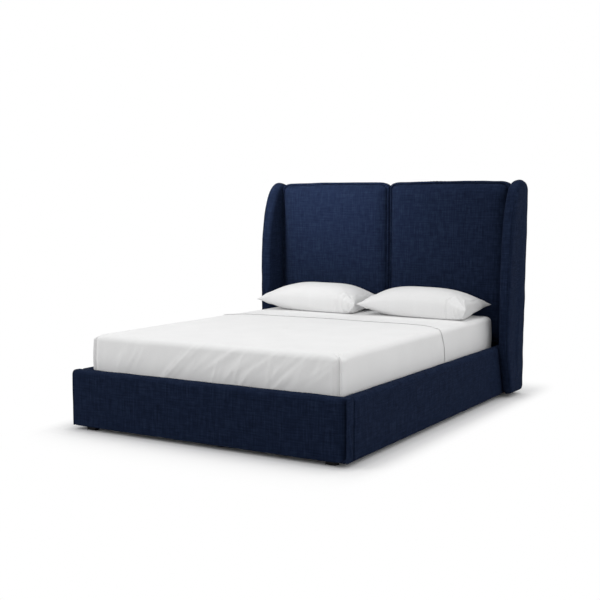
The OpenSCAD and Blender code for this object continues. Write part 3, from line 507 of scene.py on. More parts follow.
def wing(side, word):
    """One wing: its outline stacked through the profile, inset more where it faces up."""
    low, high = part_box("wing_cover_" + word)
    outline = wing_outline(low.z, high.z)
    along = np.roll(outline, -1, 0) - np.roll(outline, 1, 0)
    facing = np.stack([along[:, 1], -along[:, 0]], 1) / np.linalg.norm(along, axis=1, keepdims=True)
    dome = 1 + 0.35 * np.maximum(0, facing[:, 1]) ** 2
    fade = np.clip((1.34 - outline[:, 1]) / 0.14, 0, 1) \
        * np.clip((outline[:, 1] - 0.06) / 0.08, 0, 1) * (outline[:, 0] > 0.03)
    inset = np.repeat(WING_PROFILE[:, :1], len(outline), 1)
    inset[:9] *= 1 - 0.85 * np.clip(1 - outline[:, 0] / 0.03, 0, 1)
    inset[WELT_ROWS] = WELT_FLAT[:, None] + (inset[WELT_ROWS] - WELT_FLAT[:, None]) * fade
    ring = outline[None] - facing[None] * (inset * dome[None])[..., None]
    out = np.repeat(WING_PROFILE[:, 1:], len(outline), 1)
    spine_z = np.clip(outline[:, 1], low.z + 0.13, high.z - 0.16)
    spine = np.stack([np.interp(spine_z, [low.z, 0.9, high.z], [0.125, 0.15, 0.088]), spine_z], 1)
    shares = np.array([0.1, 0.26, 0.44, 0.6])[:, None, None]
    outer = ring[-1] + (spine - ring[-1]) * shares
    inner = ring[0] + (spine - ring[0]) * shares[::-1]
    ring = np.concatenate([inner, ring, outer])
    flat = np.zeros((len(shares), len(outline)))
    out = np.concatenate([flat, out, flat + 0.0674 + 0.0015 * shares[:, :, 0]])
    x0 = high.x - WING_T if side > 0 else low.x + WING_T
    points = np.stack([x0 + side * out, high.y - ring[..., 0], ring[..., 1]], -1)
    ripple = 0.0009 * unevenness(points, 0.14, 31 + side) \
        + 0.0011 * unevenness(points, 0.42, 41 + side)
    ripple[-len(shares):] *= 1 - shares[:, :, 0] ** 0.5
    points += (out > 0.002)[..., None] * outwards(points) * ripple[..., None]
    points[..., 0] = np.maximum(side * points[..., 0], side * x0) * side
    lean = 0.012 * np.clip(points[..., 2] - 0.3, 0, None)
    points[..., 0] += side * lean * np.clip(out / 0.02, 0, 1)
    depth = np.cumsum(np.concatenate([[0], np.hypot(*np.diff(WING_PROFILE, axis=0).T)]))
    strip = over_grid(depth[:WELT_SEAM + 1, None], run_along(outline)[None])
    planar = np.concatenate([ring, ring[:, :1]], 1)
    band, seam = len(shares), len(shares) + WELT_SEAM
    made = skin("wing_" + word, points, [(0, planar[:band + 1]), (band, strip),
                                         (seam, planar[seam:])], caps="yz")
    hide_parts("wing_cover_" + word)


wing(-1, "left")
wing(1, "right")

# ----------
# Footboard: a solid board in wadding and cloth. The front is pulled round the ends and tucked,
# which leaves a shallow groove near each corner, and the back is open behind the slats.

dress(pine["x"], "timber", "footboard_board")
low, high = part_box("footboard_cover")
slot_top, board_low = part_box("slat_1")[0].z + 0.005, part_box("footboard_board")[0].z
inner_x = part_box("side_rail_board_right")[0].x
NOTCH = 0.0065
loop = rounded_loop(
    [(low.y, low.z), (high.y, low.z), (high.y, board_low), (high.y - NOTCH, board_low),
     (high.y - NOTCH, slot_top), (high.y, slot_top), (high.y, high.z), (low.y, high.z)],
    [0.005, 0.0015, 0.001, 0, 0, 0.001, 0.014, 0.024], 0.008)
notch = (loop[:, 0] < high.y - 0.0008) & (loop[:, 0] > high.y - 0.02) \
    & (loop[:, 1] > board_low - 1e-4) & (loop[:, 1] < slot_top + 1e-4)
joints = [at for x in (-inner_x, inner_x) for at in (x - 1e-4, x + 1e-4)]
tucks = [side * (high.x - at) for side in (-1, 1) for at in np.arange(0.0029, 0.044, 0.0007)]
stations, insets = ends_rounded(low.x, high.x, (0.0028, 0.0028), 0.008, joints + tucks)
rows = sleeve(loop, stations, insets)
closed = (np.abs(stations) > inner_x)[:, None] & notch[None]
rows[..., 1] = np.where(closed, high.y - 0.0009, rows[..., 1])


# Distances from an end to where its groove begins, is deepest, and starts to run out.
GROOVE_EDGE, GROOVE_DEEP, GROOVE_OUT = 0.0030, 0.0055, 0.0110


def footboard_bulge(p):
    """Slight crown of the front, and the tucked groove near its ends: a steep side and an
    exponential way out, deep at the right end and faint at the left."""
    from_end = high.x - np.abs(p[..., 0])
    level = (p[..., 2] - low.z) / (high.z - low.z)
    crown = 0.0018 * (1 - (2 * level - 1) ** 4) * np.clip(from_end / 0.1, 0, 1)
    steep = np.clip((from_end - GROOVE_EDGE) / (GROOVE_DEEP - GROOVE_EDGE), 0, 1)
    groove = steep * (0.022 * np.exp(-np.clip(from_end - GROOVE_OUT, 0, 1) / 0.012)
                      + 0.003 * np.exp(-from_end / 0.05)) * np.where(p[..., 0] > 0, 1, 0.12)
    front = p[..., 1] < low.y + 0.012
    return front * (crown - groove) + 0.0005 * unevenness(p, 0.21, 7) * (level > 0.9)


cover("footboard", rows, [0, 1, 2], "footboard_cover", footboard_bulge, 51)

# ----------
# Side rails: boards in wadding and cloth between the footboard and the headboard, held by
# powder-coated angle brackets and bolts. The cloth ends above the slats on the inside.

dress(pine["y"], "timber", "side_rail_board_left", "side_rail_board_right")
coat = hard("black_coat", (700.0,), (0.010, 0.010, 0.011), (0.022, 0.022, 0.024), (0.2, 0.38),
            (0.0003, 0.4), Specular_IOR_Level=0.4)
dress(coat, "bracket_steel", "corner_brackets", "beam_hangers")
dress(zinc, "zinc_steel", "bracket_bolts", "wood_screws")


def bell(x, power=2):
    """1 at 0, falling off to both sides: e to the minus power of x."""
    return np.exp(-x ** power)


for side, word in ((-1, "left"), (1, "right")):
    low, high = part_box("side_rail_cover_" + word)
    inner, outer = (low.x, high.x) if side > 0 else (high.x, low.x)
    loop = rounded_loop(
        [(inner, slot_top), (inner + side * NOTCH, slot_top), (inner + side * NOTCH, board_low),
         (inner, board_low), (inner, low.z), (outer, low.z), (outer, high.z), (inner, high.z)],
        [0.001, 0, 0, 0.001, 0.0015, 0.005, 0.024, 0.014], 0.008)[::side]
    stations, insets = ends_rounded(low.y + 0.0005, high.y, (0.002, 0.0012), 0.010,
                                    low.y + np.arange(0.003, 0.018, 0.0007))
    rows = sleeve(loop, stations, insets)

    def rail_bulge(p):
        """Slight crown of the outer face, a tuck where it meets the footboard, and a top edge
        that isn't quite straight."""
        level = (p[..., 2] - low.z) / (high.z - low.z)
        shown = np.abs(p[..., 0]) > abs(outer) - 0.014
        end = np.clip((p[..., 1] - low.y) / 0.05, 0, 1)
        tuck = 0.015 * bell((p[..., 1] - low.y - 0.0060) / 0.0042)
        return shown * (0.002 * (1 - (2 * level - 1) ** 4) * end - tuck) \
            + 0.0006 * unevenness(p, 0.23, 17 + side) * (level > 0.9) * end
    cover("side_rail_" + word, rows, [1, 0, 2], "side_rail_cover_" + word, rail_bulge,
          61 + side)

# ----------
# Slatted base: pine slats on ledgers screwed to the rails, held apart by two woven straps, on
# a beam in two steel shoes.

dress(pine["y"], "timber", "slat_ledger_left", "slat_ledger_right", "centre_beam")
SLATS = range(1, 13)
for number in SLATS:
    dress(wood(f"pine_slat_{number}", "x", (0.50 + 0.01 * (number % 3), 0.31, 0.15),
               (0.73 + 0.012 * (number % 4), 0.55, 0.33)), "timber", f"slat_{number}")


def strap_weave(tree):
    """Herringbone of a woven strap: two sets of fine lines that lean against each other."""
    u, v = [tree.own_map().part(axis) for axis in (0, 1)]
    lean = (v * 420.0).math("PINGPONG", 1.0)
    line = (u * 2600.0 + lean * 3.0).math("SINE")
    tone = (line * 0.5 + 0.5).ramp((0.0, (0.52, 0.49, 0.43)), (1.0, (0.76, 0.73, 0.67)))
    return {"Base Color": tone, "Roughness": line * 0.05 + 0.85, "Normal": line.bump(0.0003, 0.6)}


webbing = finish("strap_webbing", strap_weave, Specular_IOR_Level=0.2)
slats = np.array([[end.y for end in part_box(f"slat_{number}")] for number in SLATS])
for word in ("left", "right"):
    low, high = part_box("slat_strap_" + word)
    along = np.linspace(low.y, high.y, 260)
    from_slat = np.min(np.maximum(slats[:, :1] - along, along - slats[:, 1:]), 0)
    sag = 0.0010 * np.clip(from_slat / 0.03, 0, 1) ** 2
    edge = rounded_loop([(low.x, low.z), (high.x, low.z), (high.x, high.z), (low.x, high.z)],
                        [0.0006] * 4, 0.006)
    rows = sleeve(edge, along, np.zeros(len(along)))[..., [1, 0, 2]]
    rows[..., 2] -= sag[:, None]
    place = over_grid(along[:, None], run_along(edge)[None])
    strap = skin("strap_" + word, rows, [(0, place)], caps="xz", material=webbing)
    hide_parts("slat_strap_" + word)

# ----------
# Feet: four moulded blocks screwed up into the boards and posts, and two centre legs under the
# beam whose levelling feet screw up into steel inserts.

dress(pine["z"], "timber", "centre_leg_front", "centre_leg_rear")
dress(zinc, "zinc_steel", "leg_inserts")
plastic = hard("black_moulding", (900.0,), (0.006, 0.006, 0.007), (0.012, 0.012, 0.014),
               (0.25, 0.5), (0.0002, 0.5), Specular_IOR_Level=0.15)
for end in ("front", "rear"):
    dress(plastic, "foot_plastic", f"corner_foot_{end}_left", f"corner_foot_{end}_right",
          f"levelling_foot_{end}")

# ----------
# Mattress: springs and foam in knitted ticking, quilted in diamonds on its faces, with a taped
# edge round the top and the bottom. It lies loose on the slats and carries both sheets.

BED_HALF, BED_FOOT, BED_BASE, EDGE_R, SIDE_H = (0.762, 1.016), -1.061, 0.256, 0.032, 0.19
BED_H = 2 * EDGE_R + SIDE_H
BED_MIDDLE = np.array([0, BED_FOOT + BED_HALF[1], BED_BASE])


def bed_section(off, under, step):
    """Section of the bedding at a distance off the mattress, as (inset from its plan, height,
    run), from the end of the tuck below to the middle of the top. The edges are quarter
    circles, the sides bulge by half a sine wave, and the top rises to a slight crown."""
    quarter = np.linspace(0, np.pi / 2, 9)
    side = np.linspace(0, 1, 17)[1:-1]
    reach = EDGE_R + off
    below = np.linspace(under, EDGE_R, max(2, int((under - EDGE_R) / step)))[:-1]
    top = np.linspace(EDGE_R, BED_HALF[0], int((BED_HALF[0] - EDGE_R) / step))[1:]
    crown = np.interp(top, [EDGE_R, EDGE_R + 0.06, EDGE_R + 0.23], [0, 0.0024, 0.004])
    inset = np.concatenate([below, EDGE_R - reach * np.sin(quarter),
                            -off - 0.005 * np.sin(np.pi * side),
                            EDGE_R - reach * np.cos(quarter), top])
    height = np.concatenate([0 * below - off, EDGE_R - reach * np.cos(quarter),
                             EDGE_R + SIDE_H * side, EDGE_R + SIDE_H + reach * np.sin(quarter),
                             BED_H + off + crown])
    run = np.concatenate([[0], np.cumsum(np.hypot(np.diff(inset), np.diff(height)))])
    return inset, height, run


def bed_rings(inset, height, steps):
    """Closed rings round the bed, one for each point of its section."""
    corner = [np.minimum(EDGE_R + np.maximum(0, -inset), BED_HALF[0] - inset)] * 2
    rows = rounded_rows(BED_HALF[0] - inset, BED_HALF[1] - inset, corner, corner, steps)
    return over_grid(rows[..., 0], rows[..., 1], height[:, None]) + BED_MIDDLE


def knit(tree):
    """Off-white knitted ticking: rows of small loops, and a faint unevenness of tone."""
    place = tree.place()
    x, y, z = [place.part(axis) for axis in range(3)]
    loops = ((x + z) * 2600.0).math("SINE") * (y * 1900.0).math("SINE")
    tone = place.noise(14.0, 3.0) * 0.7 + loops * 0.05 + place.noise(300.0) * 0.2
    return {"Base Color": tone.ramp((0.30, (0.66, 0.65, 0.61)), (0.65, (0.77, 0.76, 0.73))),
            "Roughness": loops * 0.04 + 0.85, "Normal": loops.bump(0.0005, 0.6)}


ticking = finish("knitted_ticking", knit, Specular_IOR_Level=0.2, Sheen_Weight=0.1)
inset, height, run = bed_section(-0.0028, BED_HALF[0], 0.017)
rows = bed_rings(inset, height, (6, 118, 88))

# Quilting: grooves in diamonds of 0.13 m on the top and the bottom. Tape: a ridge along both
# arrises with a groove beside it. Border: two grooves along the sides.
DIAMOND, ARRIS = 0.13, 0.0094
x, y = rows[..., 0], rows[..., 1]
lines = np.min([np.abs(way / DIAMOND % 1 - 0.5) for way in (x + y, x - y)], 0) * DIAMOND
level = ((height < 0.004) | (height > BED_H - 0.008))[:, None]
quilting = -0.0036 * level * np.exp(-lines / 0.013) * np.clip((inset[:, None] - 0.05) / 0.03, 0, 1)
arris = np.min([np.hypot(inset - ARRIS, height - at) for at in (ARRIS, BED_H - ARRIS)], 0)[:, None]
tape = 0.0016 * bell(arris / 0.006, 4) - 0.0022 * bell((arris - 0.0095) / 0.0028)
border = -0.0018 * bell((np.abs(height - BED_H / 2) - 0.035) / 0.004) * (inset < 0.002)
rows += outwards(rows) * (quilting + tape + border[:, None])[..., None]
ticking_map = over_grid(run_along(rows[len(rows) // 2])[None], run[:, None])
mattress = skin("mattress_box", rows, [(0, ticking_map)], "mattress",
                material=ticking)
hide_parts("mattress")

# ----------
# Fitted sheet: white cotton stretched over the whole mattress, with a gathered hem under its
# edges. Only the head end of it shows.

MATTRESS, SHEET_T, TURNED_UNDER = (1.524, 2.032, 0.254), 0.0012, 0.06


def cotton_cloth(name, pale):
    """White cotton: a fine plain weave that hardly shows, and a faint unevenness of tone."""
    def paint(tree):
        cloth = tree.own_map()
        weave = cloth.waves(9000.0)
        threads = cloth.stretched(40.0, 900.0, 1.0).noise(1.0) * 0.5 \
            + cloth.stretched(900.0, 40.0, 1.0).noise(1.0) * 0.5
        tone = cloth.noise(5.0, 3.0) * 0.5 + threads * 0.5 + weave * 0.02
        shade = [0.93 * value for value in pale]
        return {"Base Color": tone.ramp((0.3, shade), (0.7, pale)),
                "Roughness": threads * 0.1 + 0.8,
                "Normal": (weave + threads * 2.0).bump(0.00012, 0.5)}
    return finish(name, paint, Specular_IOR_Level=0.2, Sheen_Weight=0.08, Sheen_Roughness=0.5)


cotton = cotton_cloth("sheet_cotton", (0.87, 0.87, 0.87))


def bed_cloth(name, rows, inset, height, across, run):
    """Sheet of its thickness from its rings, whose map hangs down the sides and lies level
    from the first row on that is on the flat top."""
    ring = across.shape[0] > rows.shape[1]
    level = np.argmax((inset > EDGE_R) & (height > SIDE_H))
    hanging = over_grid(across[None], run[:level + 1, None])
    lying = (np.concatenate([rows, rows[:, :1]], 1) if ring else rows)[level:, :, :2]
    made = skin(name, rows, [(0, hanging), (level, lying)], "mattress", ring,
                material=cotton)
    cloth = made.modifiers.new("thickness", "SOLIDIFY")
    cloth.thickness, cloth.offset = SHEET_T, 0
    return made


# The cloth lies up to 1.8 mm in, in slow waves, and its hem is gathered at the corners, where
# SIDE_ROW is the row that the waves of the gathers are counted along.
SIDE_ROW, CORNER_REACH = 10, 0.11
inset, height, run = bed_section(0.0009, TURNED_UNDER, 0.018)
rows = bed_rings(inset, height, (10, 110, 82))
at_corner = sum(np.abs(rows[..., axis] - BED_MIDDLE[axis]) - BED_HALF[axis] + CORNER_REACH
                for axis in (0, 1))
gather = np.clip(at_corner / 0.1, 0, 1) * (height < 0.03)[:, None]
waves = np.sin(run_along(rows[SIDE_ROW])[:-1] / 0.014 * 2 * np.pi)
shift = -0.0008 + 0.0008 * unevenness(rows * np.array([1, 0.6, 1]), 0.30, 71)
shift = np.where((height > 0.05)[:, None], np.clip(shift, -0.0018, 0), 0)
rows += outwards(rows) * (shift + 0.0011 * gather * waves)[..., None]
fitted = bed_cloth("fitted_cover", rows, inset, height, run_along(rows[SIDE_ROW]), run)
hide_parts("fitted_sheet")
FITTED_FLAT = tuple(side + 2 * (MATTRESS[2] + TURNED_UNDER) for side in MATTRESS[:2])
FITTED_FLAT[0] * FITTED_FLAT[1] - 4 * (MATTRESS[2] + TURNED_UNDER) ** 2

# ----------
# Flat sheet: laid over the foot end and tucked in on three sides. It is folded to a crease at
# each foot corner, hangs in soft slanting folds across the foot, and has a hem at the top.

# The hem as (distance from the free edge, height) in mm: a roll that overhangs the groove
# behind it, so that its edge shows as a fine line.
HEM = np.array([
    (0, 0.6), (0.8, 2.6), (2.2, 4.0), (4.5, 4.7), (8, 4.9), (11, 4.8), (12.4, 4.6), (12.9, 4.2),
    (12.5, 3.8), (10.5, 3.6), (8, 3.4), (6.4, 2.8), (5.8, 1.7), (6.4, 0.6), (8, 0.1), (10, 0),
    (13, 0), (17, 0), (22, 0), (30, 0)]) / 1000
TUCKED, FLAT_REACH, SHEET_TOP = 0.13, 1.291, 0.258


def free_edge(x, height):
    """Place along the bed of the sheet's free edge: nearly straight across the top, drawn
    towards the foot at the arris, and back a little down the side."""
    top = np.interp(np.abs(x), [0, 0.45, 0.616, 0.68, 0.723, 0.762],
                    [0.242, 0.240, 0.228, 0.196, 0.155, 0.147])
    side = np.interp(height, [0, 0.056, 0.163, 0.229], [0.192, 0.190, 0.171, 0.147])
    return np.where(height > BED_H - 0.006, top, side)


def open_rings(inset, height, steps):
    """Rings that are open towards the head: left side, corner, foot, corner, right side. The
    sides begin with the rows of the hem."""
    half, foot = (BED_HALF[0] - inset)[:, None], (BED_FOOT + inset)[:, None]
    arc = np.minimum(EDGE_R + np.maximum(0, -inset)[:, None], half)
    end, low = free_edge(half[:, 0], height)[:, None], foot + arc
    ease = np.linspace(-1, 1, steps[1] + 1)
    turn = np.pi / 4 * (1 + np.sign(ease) * np.abs(ease) ** 1.7)
    side, front = np.linspace(0, 1, steps[0] + 1)[1:-1], np.linspace(0, 1, steps[2] + 1)[1:-1]
    left = over_grid(-half, np.concatenate(
        [end - HEM[:, 0], end - HEM[-1, 0] + (low - end + HEM[-1, 0]) * side], 1))
    near = over_grid(-half + arc * (1 - np.cos(turn)), low - arc * np.sin(turn))
    across = over_grid((-half + arc) + (2 * (half - arc)) * front, foot)
    far, right = [part[:, ::-1] * np.array([-1, 1]) for part in (near, left)]
    rows = np.concatenate([left, near, across, far, right], 1)
    return over_grid(rows[..., 0], rows[..., 1], (height + BED_BASE)[:, None])


inset, height, run = bed_section(0.0026, TUCKED, 0.013)
rows = open_rings(inset, height, (100, 28, 150))
normal = outwards(rows, ring=False)
hems = len(HEM)
normal[:, :hems], normal[:, -hems:] = normal[:, hems:hems + 1], normal[:, -hems - 1:-hems]

# Folds across the foot: each leans, and is a ridge with a fainter one beside it. There are few
# at the left and many at the right.
x, y, up = rows[..., 0], rows[..., 1], (rows[..., 2] - BED_BASE) / SHEET_TOP
draw = np.random.default_rng(83)
folds = np.zeros(x.shape)
for place in np.concatenate([draw.uniform(-0.70, -0.30, 12), draw.uniform(-0.25, 0.68, 30)]):
    strong = 0.45 + 0.55 * (place > -0.28)
    lean, width = draw.uniform(0.04, 0.45) * strong, draw.uniform(0.006, 0.013)
    from_fold = x - place - lean * (up - 0.5)
    depth = draw.uniform(0.0024, 0.0075) * strong
    reach = bell((up - draw.uniform(0.35, 0.85)) / draw.uniform(0.18, 0.34))
    folds += depth * reach * (bell(from_fold / width)
                              + 0.5 * bell((from_fold - 3.2 * width) / (1.6 * width)))
folds = 0.009 * np.tanh(folds / 0.009)
folds *= np.clip(up / 0.15, 0, 1) * np.clip((1.08 - up) / 0.2, 0, 1) \
    * np.clip((BED_FOOT + 0.05 - y) / 0.05, 0, 1)

# Crease at each foot corner: the cloth rises to it from both sides, falls into a groove on one
# side of it, and laps a little over the groove. A fan of small folds starts from its top.
angle = np.arctan2(BED_FOOT + EDGE_R - y, np.abs(x) - BED_HALF[0] + EDGE_R)
round_corner = (np.abs(x) > BED_HALF[0] - EDGE_R) & (y < BED_FOOT + EDGE_R)
from_crease = np.where(round_corner, EDGE_R * (angle - np.pi / 4), np.hypot(
    np.maximum(0, BED_HALF[0] - EDGE_R - np.abs(x)), np.maximum(0, y - BED_FOOT - EDGE_R)) + 0.025)
corner = np.hypot(np.abs(x) - BED_HALF[0], y - BED_FOOT)
upright = np.clip((up - 0.05) / 0.2, 0, 1) * np.clip((0.95 - up) / 0.06, 0, 1)
groove = round_corner * np.where(from_crease > 0, bell(np.abs(from_crease / 0.013), 1.2),
                                 bell(from_crease / 0.0012))
crease = upright * (0.0200 * np.exp(-np.abs(from_crease) / 0.020) - 0.0220 * groove)
overlap = 0.0015 * round_corner * upright * bell((from_crease + 0.0022) / 0.0022)
spokes = np.sin(np.arctan2(y - BED_FOOT, BED_HALF[0] - np.abs(x)) * 16)
fan = 0.0016 * bell(corner / 0.12) * (1 + spokes) * np.clip((up - 0.75) / 0.2, 0, 1)
soft = 0.0011 * (1 + unevenness(rows * np.array([1, 0.7, 1]), 0.42, 91))
hem = np.zeros(x.shape)
hem[:, :hems], hem[:, -hems:] = HEM[:, 1], HEM[::-1, 1]
outside = (rows[..., 2] > BED_BASE + 0.012) | (inset[:, None] < 0.012)
rows += normal * np.where(outside, folds + crease + fan + soft + hem, 0)[..., None]
rows[..., 0] -= overlap * np.sin(angle) * np.sign(x)
rows[..., 1] -= overlap * np.cos(angle)
flat = bed_cloth("flat_cover", rows, inset, height, run_along(rows[len(inset) // 3])[:-1], run)
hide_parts("flat_sheet")

# ----------
# Pillows: each is a case of two pieces of cotton sewn round the edge and filled. Its form is
# wrinkled as cloth, brought to its solid's size, and pressed flat on the sheet.

CLOTH_FRAMES = 20
pillow_cotton = cotton_cloth("pillow_cotton", (0.79, 0.79, 0.79))


def read(mesh, what):
    """A value of three parts at every vertex of a mesh, such as co or normal."""
    values = np.empty(3 * len(mesh.vertices))
    mesh.vertices.foreach_get(what, values)
    return values.reshape(-1, 3)


def settled(case, where, pressure, reach):
    """Where the points of a case are after some frames as cloth, which is a little longer than
    the form and pressed along its faces' normals, none further than reach from where it was."""
    cloth = case.modifiers.new("cloth", "CLOTH")
    settings = cloth.settings
    settings.quality, settings.mass, settings.air_damping = 6, 0.2, 2.0
    settings.tension_stiffness = settings.compression_stiffness = 25
    settings.shear_stiffness, settings.bending_stiffness = 6, 0.3
    settings.shrink_min = -0.05
    settings.use_pressure, settings.uniform_pressure_force = True, pressure
    settings.effector_weights.gravity = 0
    cloth.collision_settings.use_collision = False
    cloth.point_cache.frame_end = CLOTH_FRAMES
    for moment in range(1, CLOTH_FRAMES + 1):
        bpy.context.scene.frame_set(moment)
    after = case.evaluated_get(bpy.context.evaluated_depsgraph_get())
    moved = read(after.data, "co") - where
    case.modifiers.remove(cloth)
    bpy.context.scene.frame_set(1)
    length = np.linalg.norm(moved, axis=1, keepdims=True)
    return where + moved * np.minimum(1, reach / (length + 1e-9))


def puckers(where, half_w, half_d, seed):
    """Depth of the folds at a pillow's ears: some run in from each ear like spokes, as sines
    of the angle round it, and a few curve round the right ear of the front edge."""
    draw, depth = np.random.default_rng(seed), np.zeros(len(where))
    for sx in (-1, 1):
        for sy in (-1, 1):
            from_ear = np.array([half_w, half_d]) - where[:, :2] * (sx, sy)
            away, angle = np.hypot(*from_ear.T), np.arctan2(*from_ear.T)
            spokes = np.sin(angle * draw.uniform(13, 17) + draw.uniform(0, 6)) \
                + 0.6 * np.sin(angle * draw.uniform(21, 27) + draw.uniform(0, 6))
            depth += 0.0026 * spokes * np.clip(away / 0.04, 0, 1) * bell(away / 0.15)
            if (sx, sy) == (1, -1):
                for reach in (0.062, 0.084, 0.110, 0.150):
                    round_ear = away - reach - draw.uniform(-0.014, 0.014) * np.cos(angle)
                    part = bell((angle - draw.uniform(1.2, 1.4)) / draw.uniform(0.35, 0.5))
                    depth += draw.uniform(0.003, 0.008) * part * (
                        bell(round_ear / 0.0065) - 0.7 * bell((round_ear - 0.012) / 0.007))
    return depth


def pillow(side, word):
    """One pillow: two grids that are joined along their edges, swollen between them by roots
    of powers of the place on them, with sides drawn in between the ears. It settles as cloth,
    and is pressed flat below its seam, less so at two of its ears. Its faces are turned inwards
    until the end, so the cloth is pressed from outside and its folds are counted inwards."""
    low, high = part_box("pillow_" + word)
    half_w, half_d, seam = (high.x - low.x) / 2, (high.y - low.y) / 2, 0.066
    even = [np.linspace(-1, 1, count + 1) for count in (100, 62)]
    u, v = np.meshgrid(*[0.5 * (np.sin(a * np.pi / 2) + a) for a in even], indexing="ij")
    swell = np.sqrt(np.clip((1 - np.abs(u) ** 2.8) * (1 - np.abs(v) ** 2.6), 0, 1)) \
        * (1 - 0.3 * np.abs(u * v) ** 4)
    lumps = 1 + 0.03 * unevenness(np.stack([u, v, 0 * u], -1), 1.3, 97 + side)
    top = np.stack([half_w * u - 0.024 * (1 - np.abs(v) ** 5) * u,
                    half_d * v - 0.030 * (1 - np.abs(u) ** 7) * v,
                    (high.z - low.z - seam) * swell * lumps], -1)
    index = np.arange(u.size).reshape(u.shape)
    square = np.stack([index[:-1, :-1], index[1:, :-1], index[1:, 1:], index[:-1, 1:]], -1)
    both = np.concatenate([top, top * np.array([1, 1, -0.75])]).reshape(-1, 3)
    faces = square.reshape(-1, 4)
    faces = np.concatenate([faces, faces[:, ::-1] + u.size])
    mesh = bpy.data.meshes.new("pillow_case_" + word)
    mesh.from_pydata(both.tolist(), [], faces.tolist())
    mesh.uv_layers.new(name="cloth").data.foreach_set("uv", both[faces.ravel(), :2].ravel())
    sew(mesh, open_edges=True)
    case = piece("pillow_case_" + word, mesh, pillow_cotton, "pillow_" + word)
    where = read(mesh, "co")
    corner = np.abs(where[:, :1] / half_w * where[:, 1:2] / half_d)
    where = settled(case, where, 3.0, 0.009 - 0.007 * np.clip(corner * 1.6 - 0.5, 0, 1))
    where = where - (where.min(0) + where.max(0)) * np.array([0.5, 0.5, 0])
    where[:, :2] *= np.array([half_w, half_d]) / where[:, :2].max(0)
    diagonal, up = where[:, 0] / half_w * where[:, 1] / half_d, where[:, 2]
    pressed = 1.75 * np.exp(-0.75 * diagonal) * np.maximum(0, -up) / -up.min()
    pressed = seam * pressed / (1 + pressed ** 14) ** (1 / 14)
    where[:, 2] = np.maximum(0, up) / up.max() * (high.z - low.z - seam) \
        + (seam - pressed) * (1 + 0.004 * diagonal ** 2 / seam)
    mesh.vertices.foreach_set("co", where.ravel())
    mesh.update()
    folds = puckers(where, half_w, half_d, 3 + side) * (where[:, 2] > 0.004)
    where += read(mesh, "normal") * folds[:, None]
    where += np.array([(low.x + high.x) / 2, (low.y + high.y) / 2, low.z + 0.0002])
    mesh.vertices.foreach_set("co", where.ravel())
    mesh.flip_normals()
    mesh.update()
    fine = case.modifiers.new("fine", "SUBSURF")
    fine.levels = fine.render_levels = 1
    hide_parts("pillow_" + word)


pillow(-1, "left")
pillow(1, "right")

# ----------
# Stage: a white floor that keeps the shadow and ends in a white surround, soft studio light
# from above and from the left, and the camera of the photograph.

# AMBIENT is the strength of the surround for rays that light the bed. Each lamp has its name,
# place, aim, size, spread in degrees and power.
AMBIENT, FLOOR_R, FLOOR_CORNERS = 0.83, 14, 96
LAMPS = [("top_light", (0, 0.2, 4.2), (0, 0, 0), 2.0, 180, 24.0),
         ("left_light", (-3.4, -3.6, 2.0), (0, 0, 0.7), 2.0, 180, 39.0),
         ("head_light", (-2.4, -3.2, 2.3), (-0.55, 1.05, 1.55), 1.0, 20, 7.4),
         ("side_light", (4.2, -0.6, 1.6), (0.8, 0, 0.3), 2.0, 180, 19.0)]
scene = bpy.context.scene
scene.view_settings.view_transform = "Standard"
turn = np.linspace(0, 2 * np.pi, FLOOR_CORNERS + 1)[:-1]
ring = np.stack([FLOOR_R * np.cos(turn), FLOOR_R * np.sin(turn), 0 * turn], 1)
floor_mesh = bpy.data.meshes.new("floor")
floor_mesh.from_pydata(ring.tolist(), [], [list(range(FLOOR_CORNERS))])
ground = bpy.data.objects.new("floor", floor_mesh)
scene.collection.objects.link(ground)


def seen(tree):
    """1 for rays from the camera, off gloss or through glass, and 0 for those that light."""
    kinds = [tree.add("LightPath", output=f"Is {kind} Ray")
             for kind in ("Camera", "Glossy", "Transmission")]
    return kinds[0].math("MAXIMUM", kinds[1]).math("MAXIMUM", kinds[2])


def beside(place, half_x, half_y, weight):
    """Distance of a place on the floor from a rectangle round the middle, with the part across
    weighted."""
    x, y = [(place.part(axis).math("ABSOLUTE") - half).math("MAXIMUM", 0.0)
            for axis, half in enumerate((half_x, half_y))]
    return (x * x * weight + y * y).math("SQRT")
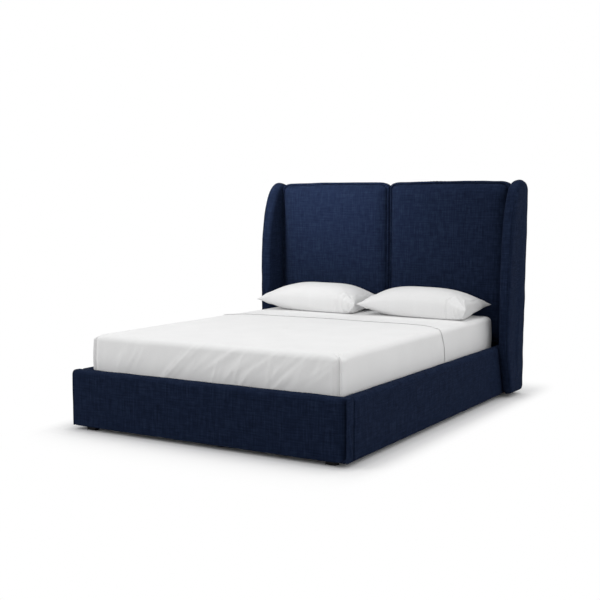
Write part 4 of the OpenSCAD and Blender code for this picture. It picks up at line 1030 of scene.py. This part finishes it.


# The floor that is seen is white and keeps the shadow near the bed, with painted shade under it,
# and turns into plain white light further away. The floor that lights the bed is grey.
material = bpy.data.materials.new("white_floor")
material.use_nodes = True
tree, nodes = Paint(material.node_tree), material.node_tree.nodes
nodes.remove(nodes["Principled BSDF"])
away = beside(tree.place(), 0.91, 1.15, 9.0)
far = tree.add("MapRange", {"interpolation_type": "SMOOTHSTEP"},
               {"Value": away, "From Min": 0.0, "From Max": 0.5})
# Painted shade: the seen floor's colour is greyer under the bed and whitens within about 6 cm
# beside it.
near = beside(tree.place(), 0.845, 1.152, 1.0) * 16.0
shade = near.ramp((0.0, (0.82, 0.82, 0.83)), (1.0, (1, 1, 1)))
lit = tree.add("BsdfDiffuse", {}, {"Color": shade})
white = tree.add("Emission", {}, {"Color": (1, 1, 1, 1), "Strength": 1.0})
grey = tree.add("BsdfDiffuse", {}, {"Color": (0.38, 0.38, 0.38, 1)})
shown = tree.add("MixShader", {}, {0: far, 1: lit, 2: white})
tree.add("MixShader", {}, {0: seen(tree), 1: grey, 2: shown}).into(
    nodes["Material Output"].inputs["Surface"])
floor_mesh.materials.append(material)

world = bpy.data.worlds.new("studio")
scene.world = world
world.use_nodes = True
background = world.node_tree.nodes["Background"].inputs
background["Color"].default_value = (1, 1, 1, 1)
(seen(Paint(world.node_tree)) * (1 - AMBIENT) + AMBIENT).into(background["Strength"])

for name, place, aim, size, spread, watts in LAMPS:
    lamp = bpy.data.lights.new(name, "AREA")
    lamp.shape, lamp.size, lamp.energy, lamp.spread = "SQUARE", size, watts, np.radians(spread)
    lamp_object = bpy.data.objects.new(name, lamp)
    lamp_object.location = place
    lamp_object.rotation_euler = (Vector(aim) - Vector(place)).to_track_quat("-Z", "Y").to_euler()
    scene.collection.objects.link(lamp_object)

# Lens, place and turn as fitted to the photograph.
camera = bpy.data.cameras.new("camera")
camera.lens, camera.sensor_width = 61.53, 36
viewer = bpy.data.objects.new("camera", camera)
viewer.location = (3.0474, -5.2595, 1.2180)
viewer.rotation_euler = Matrix(((0.8587, -0.0468, 0.5104), (0.5126, 0.0793, -0.8550),
                                (-0.0005, 0.9958, 0.0921))).to_euler()
scene.collection.objects.link(viewer)
scene.camera = viewer
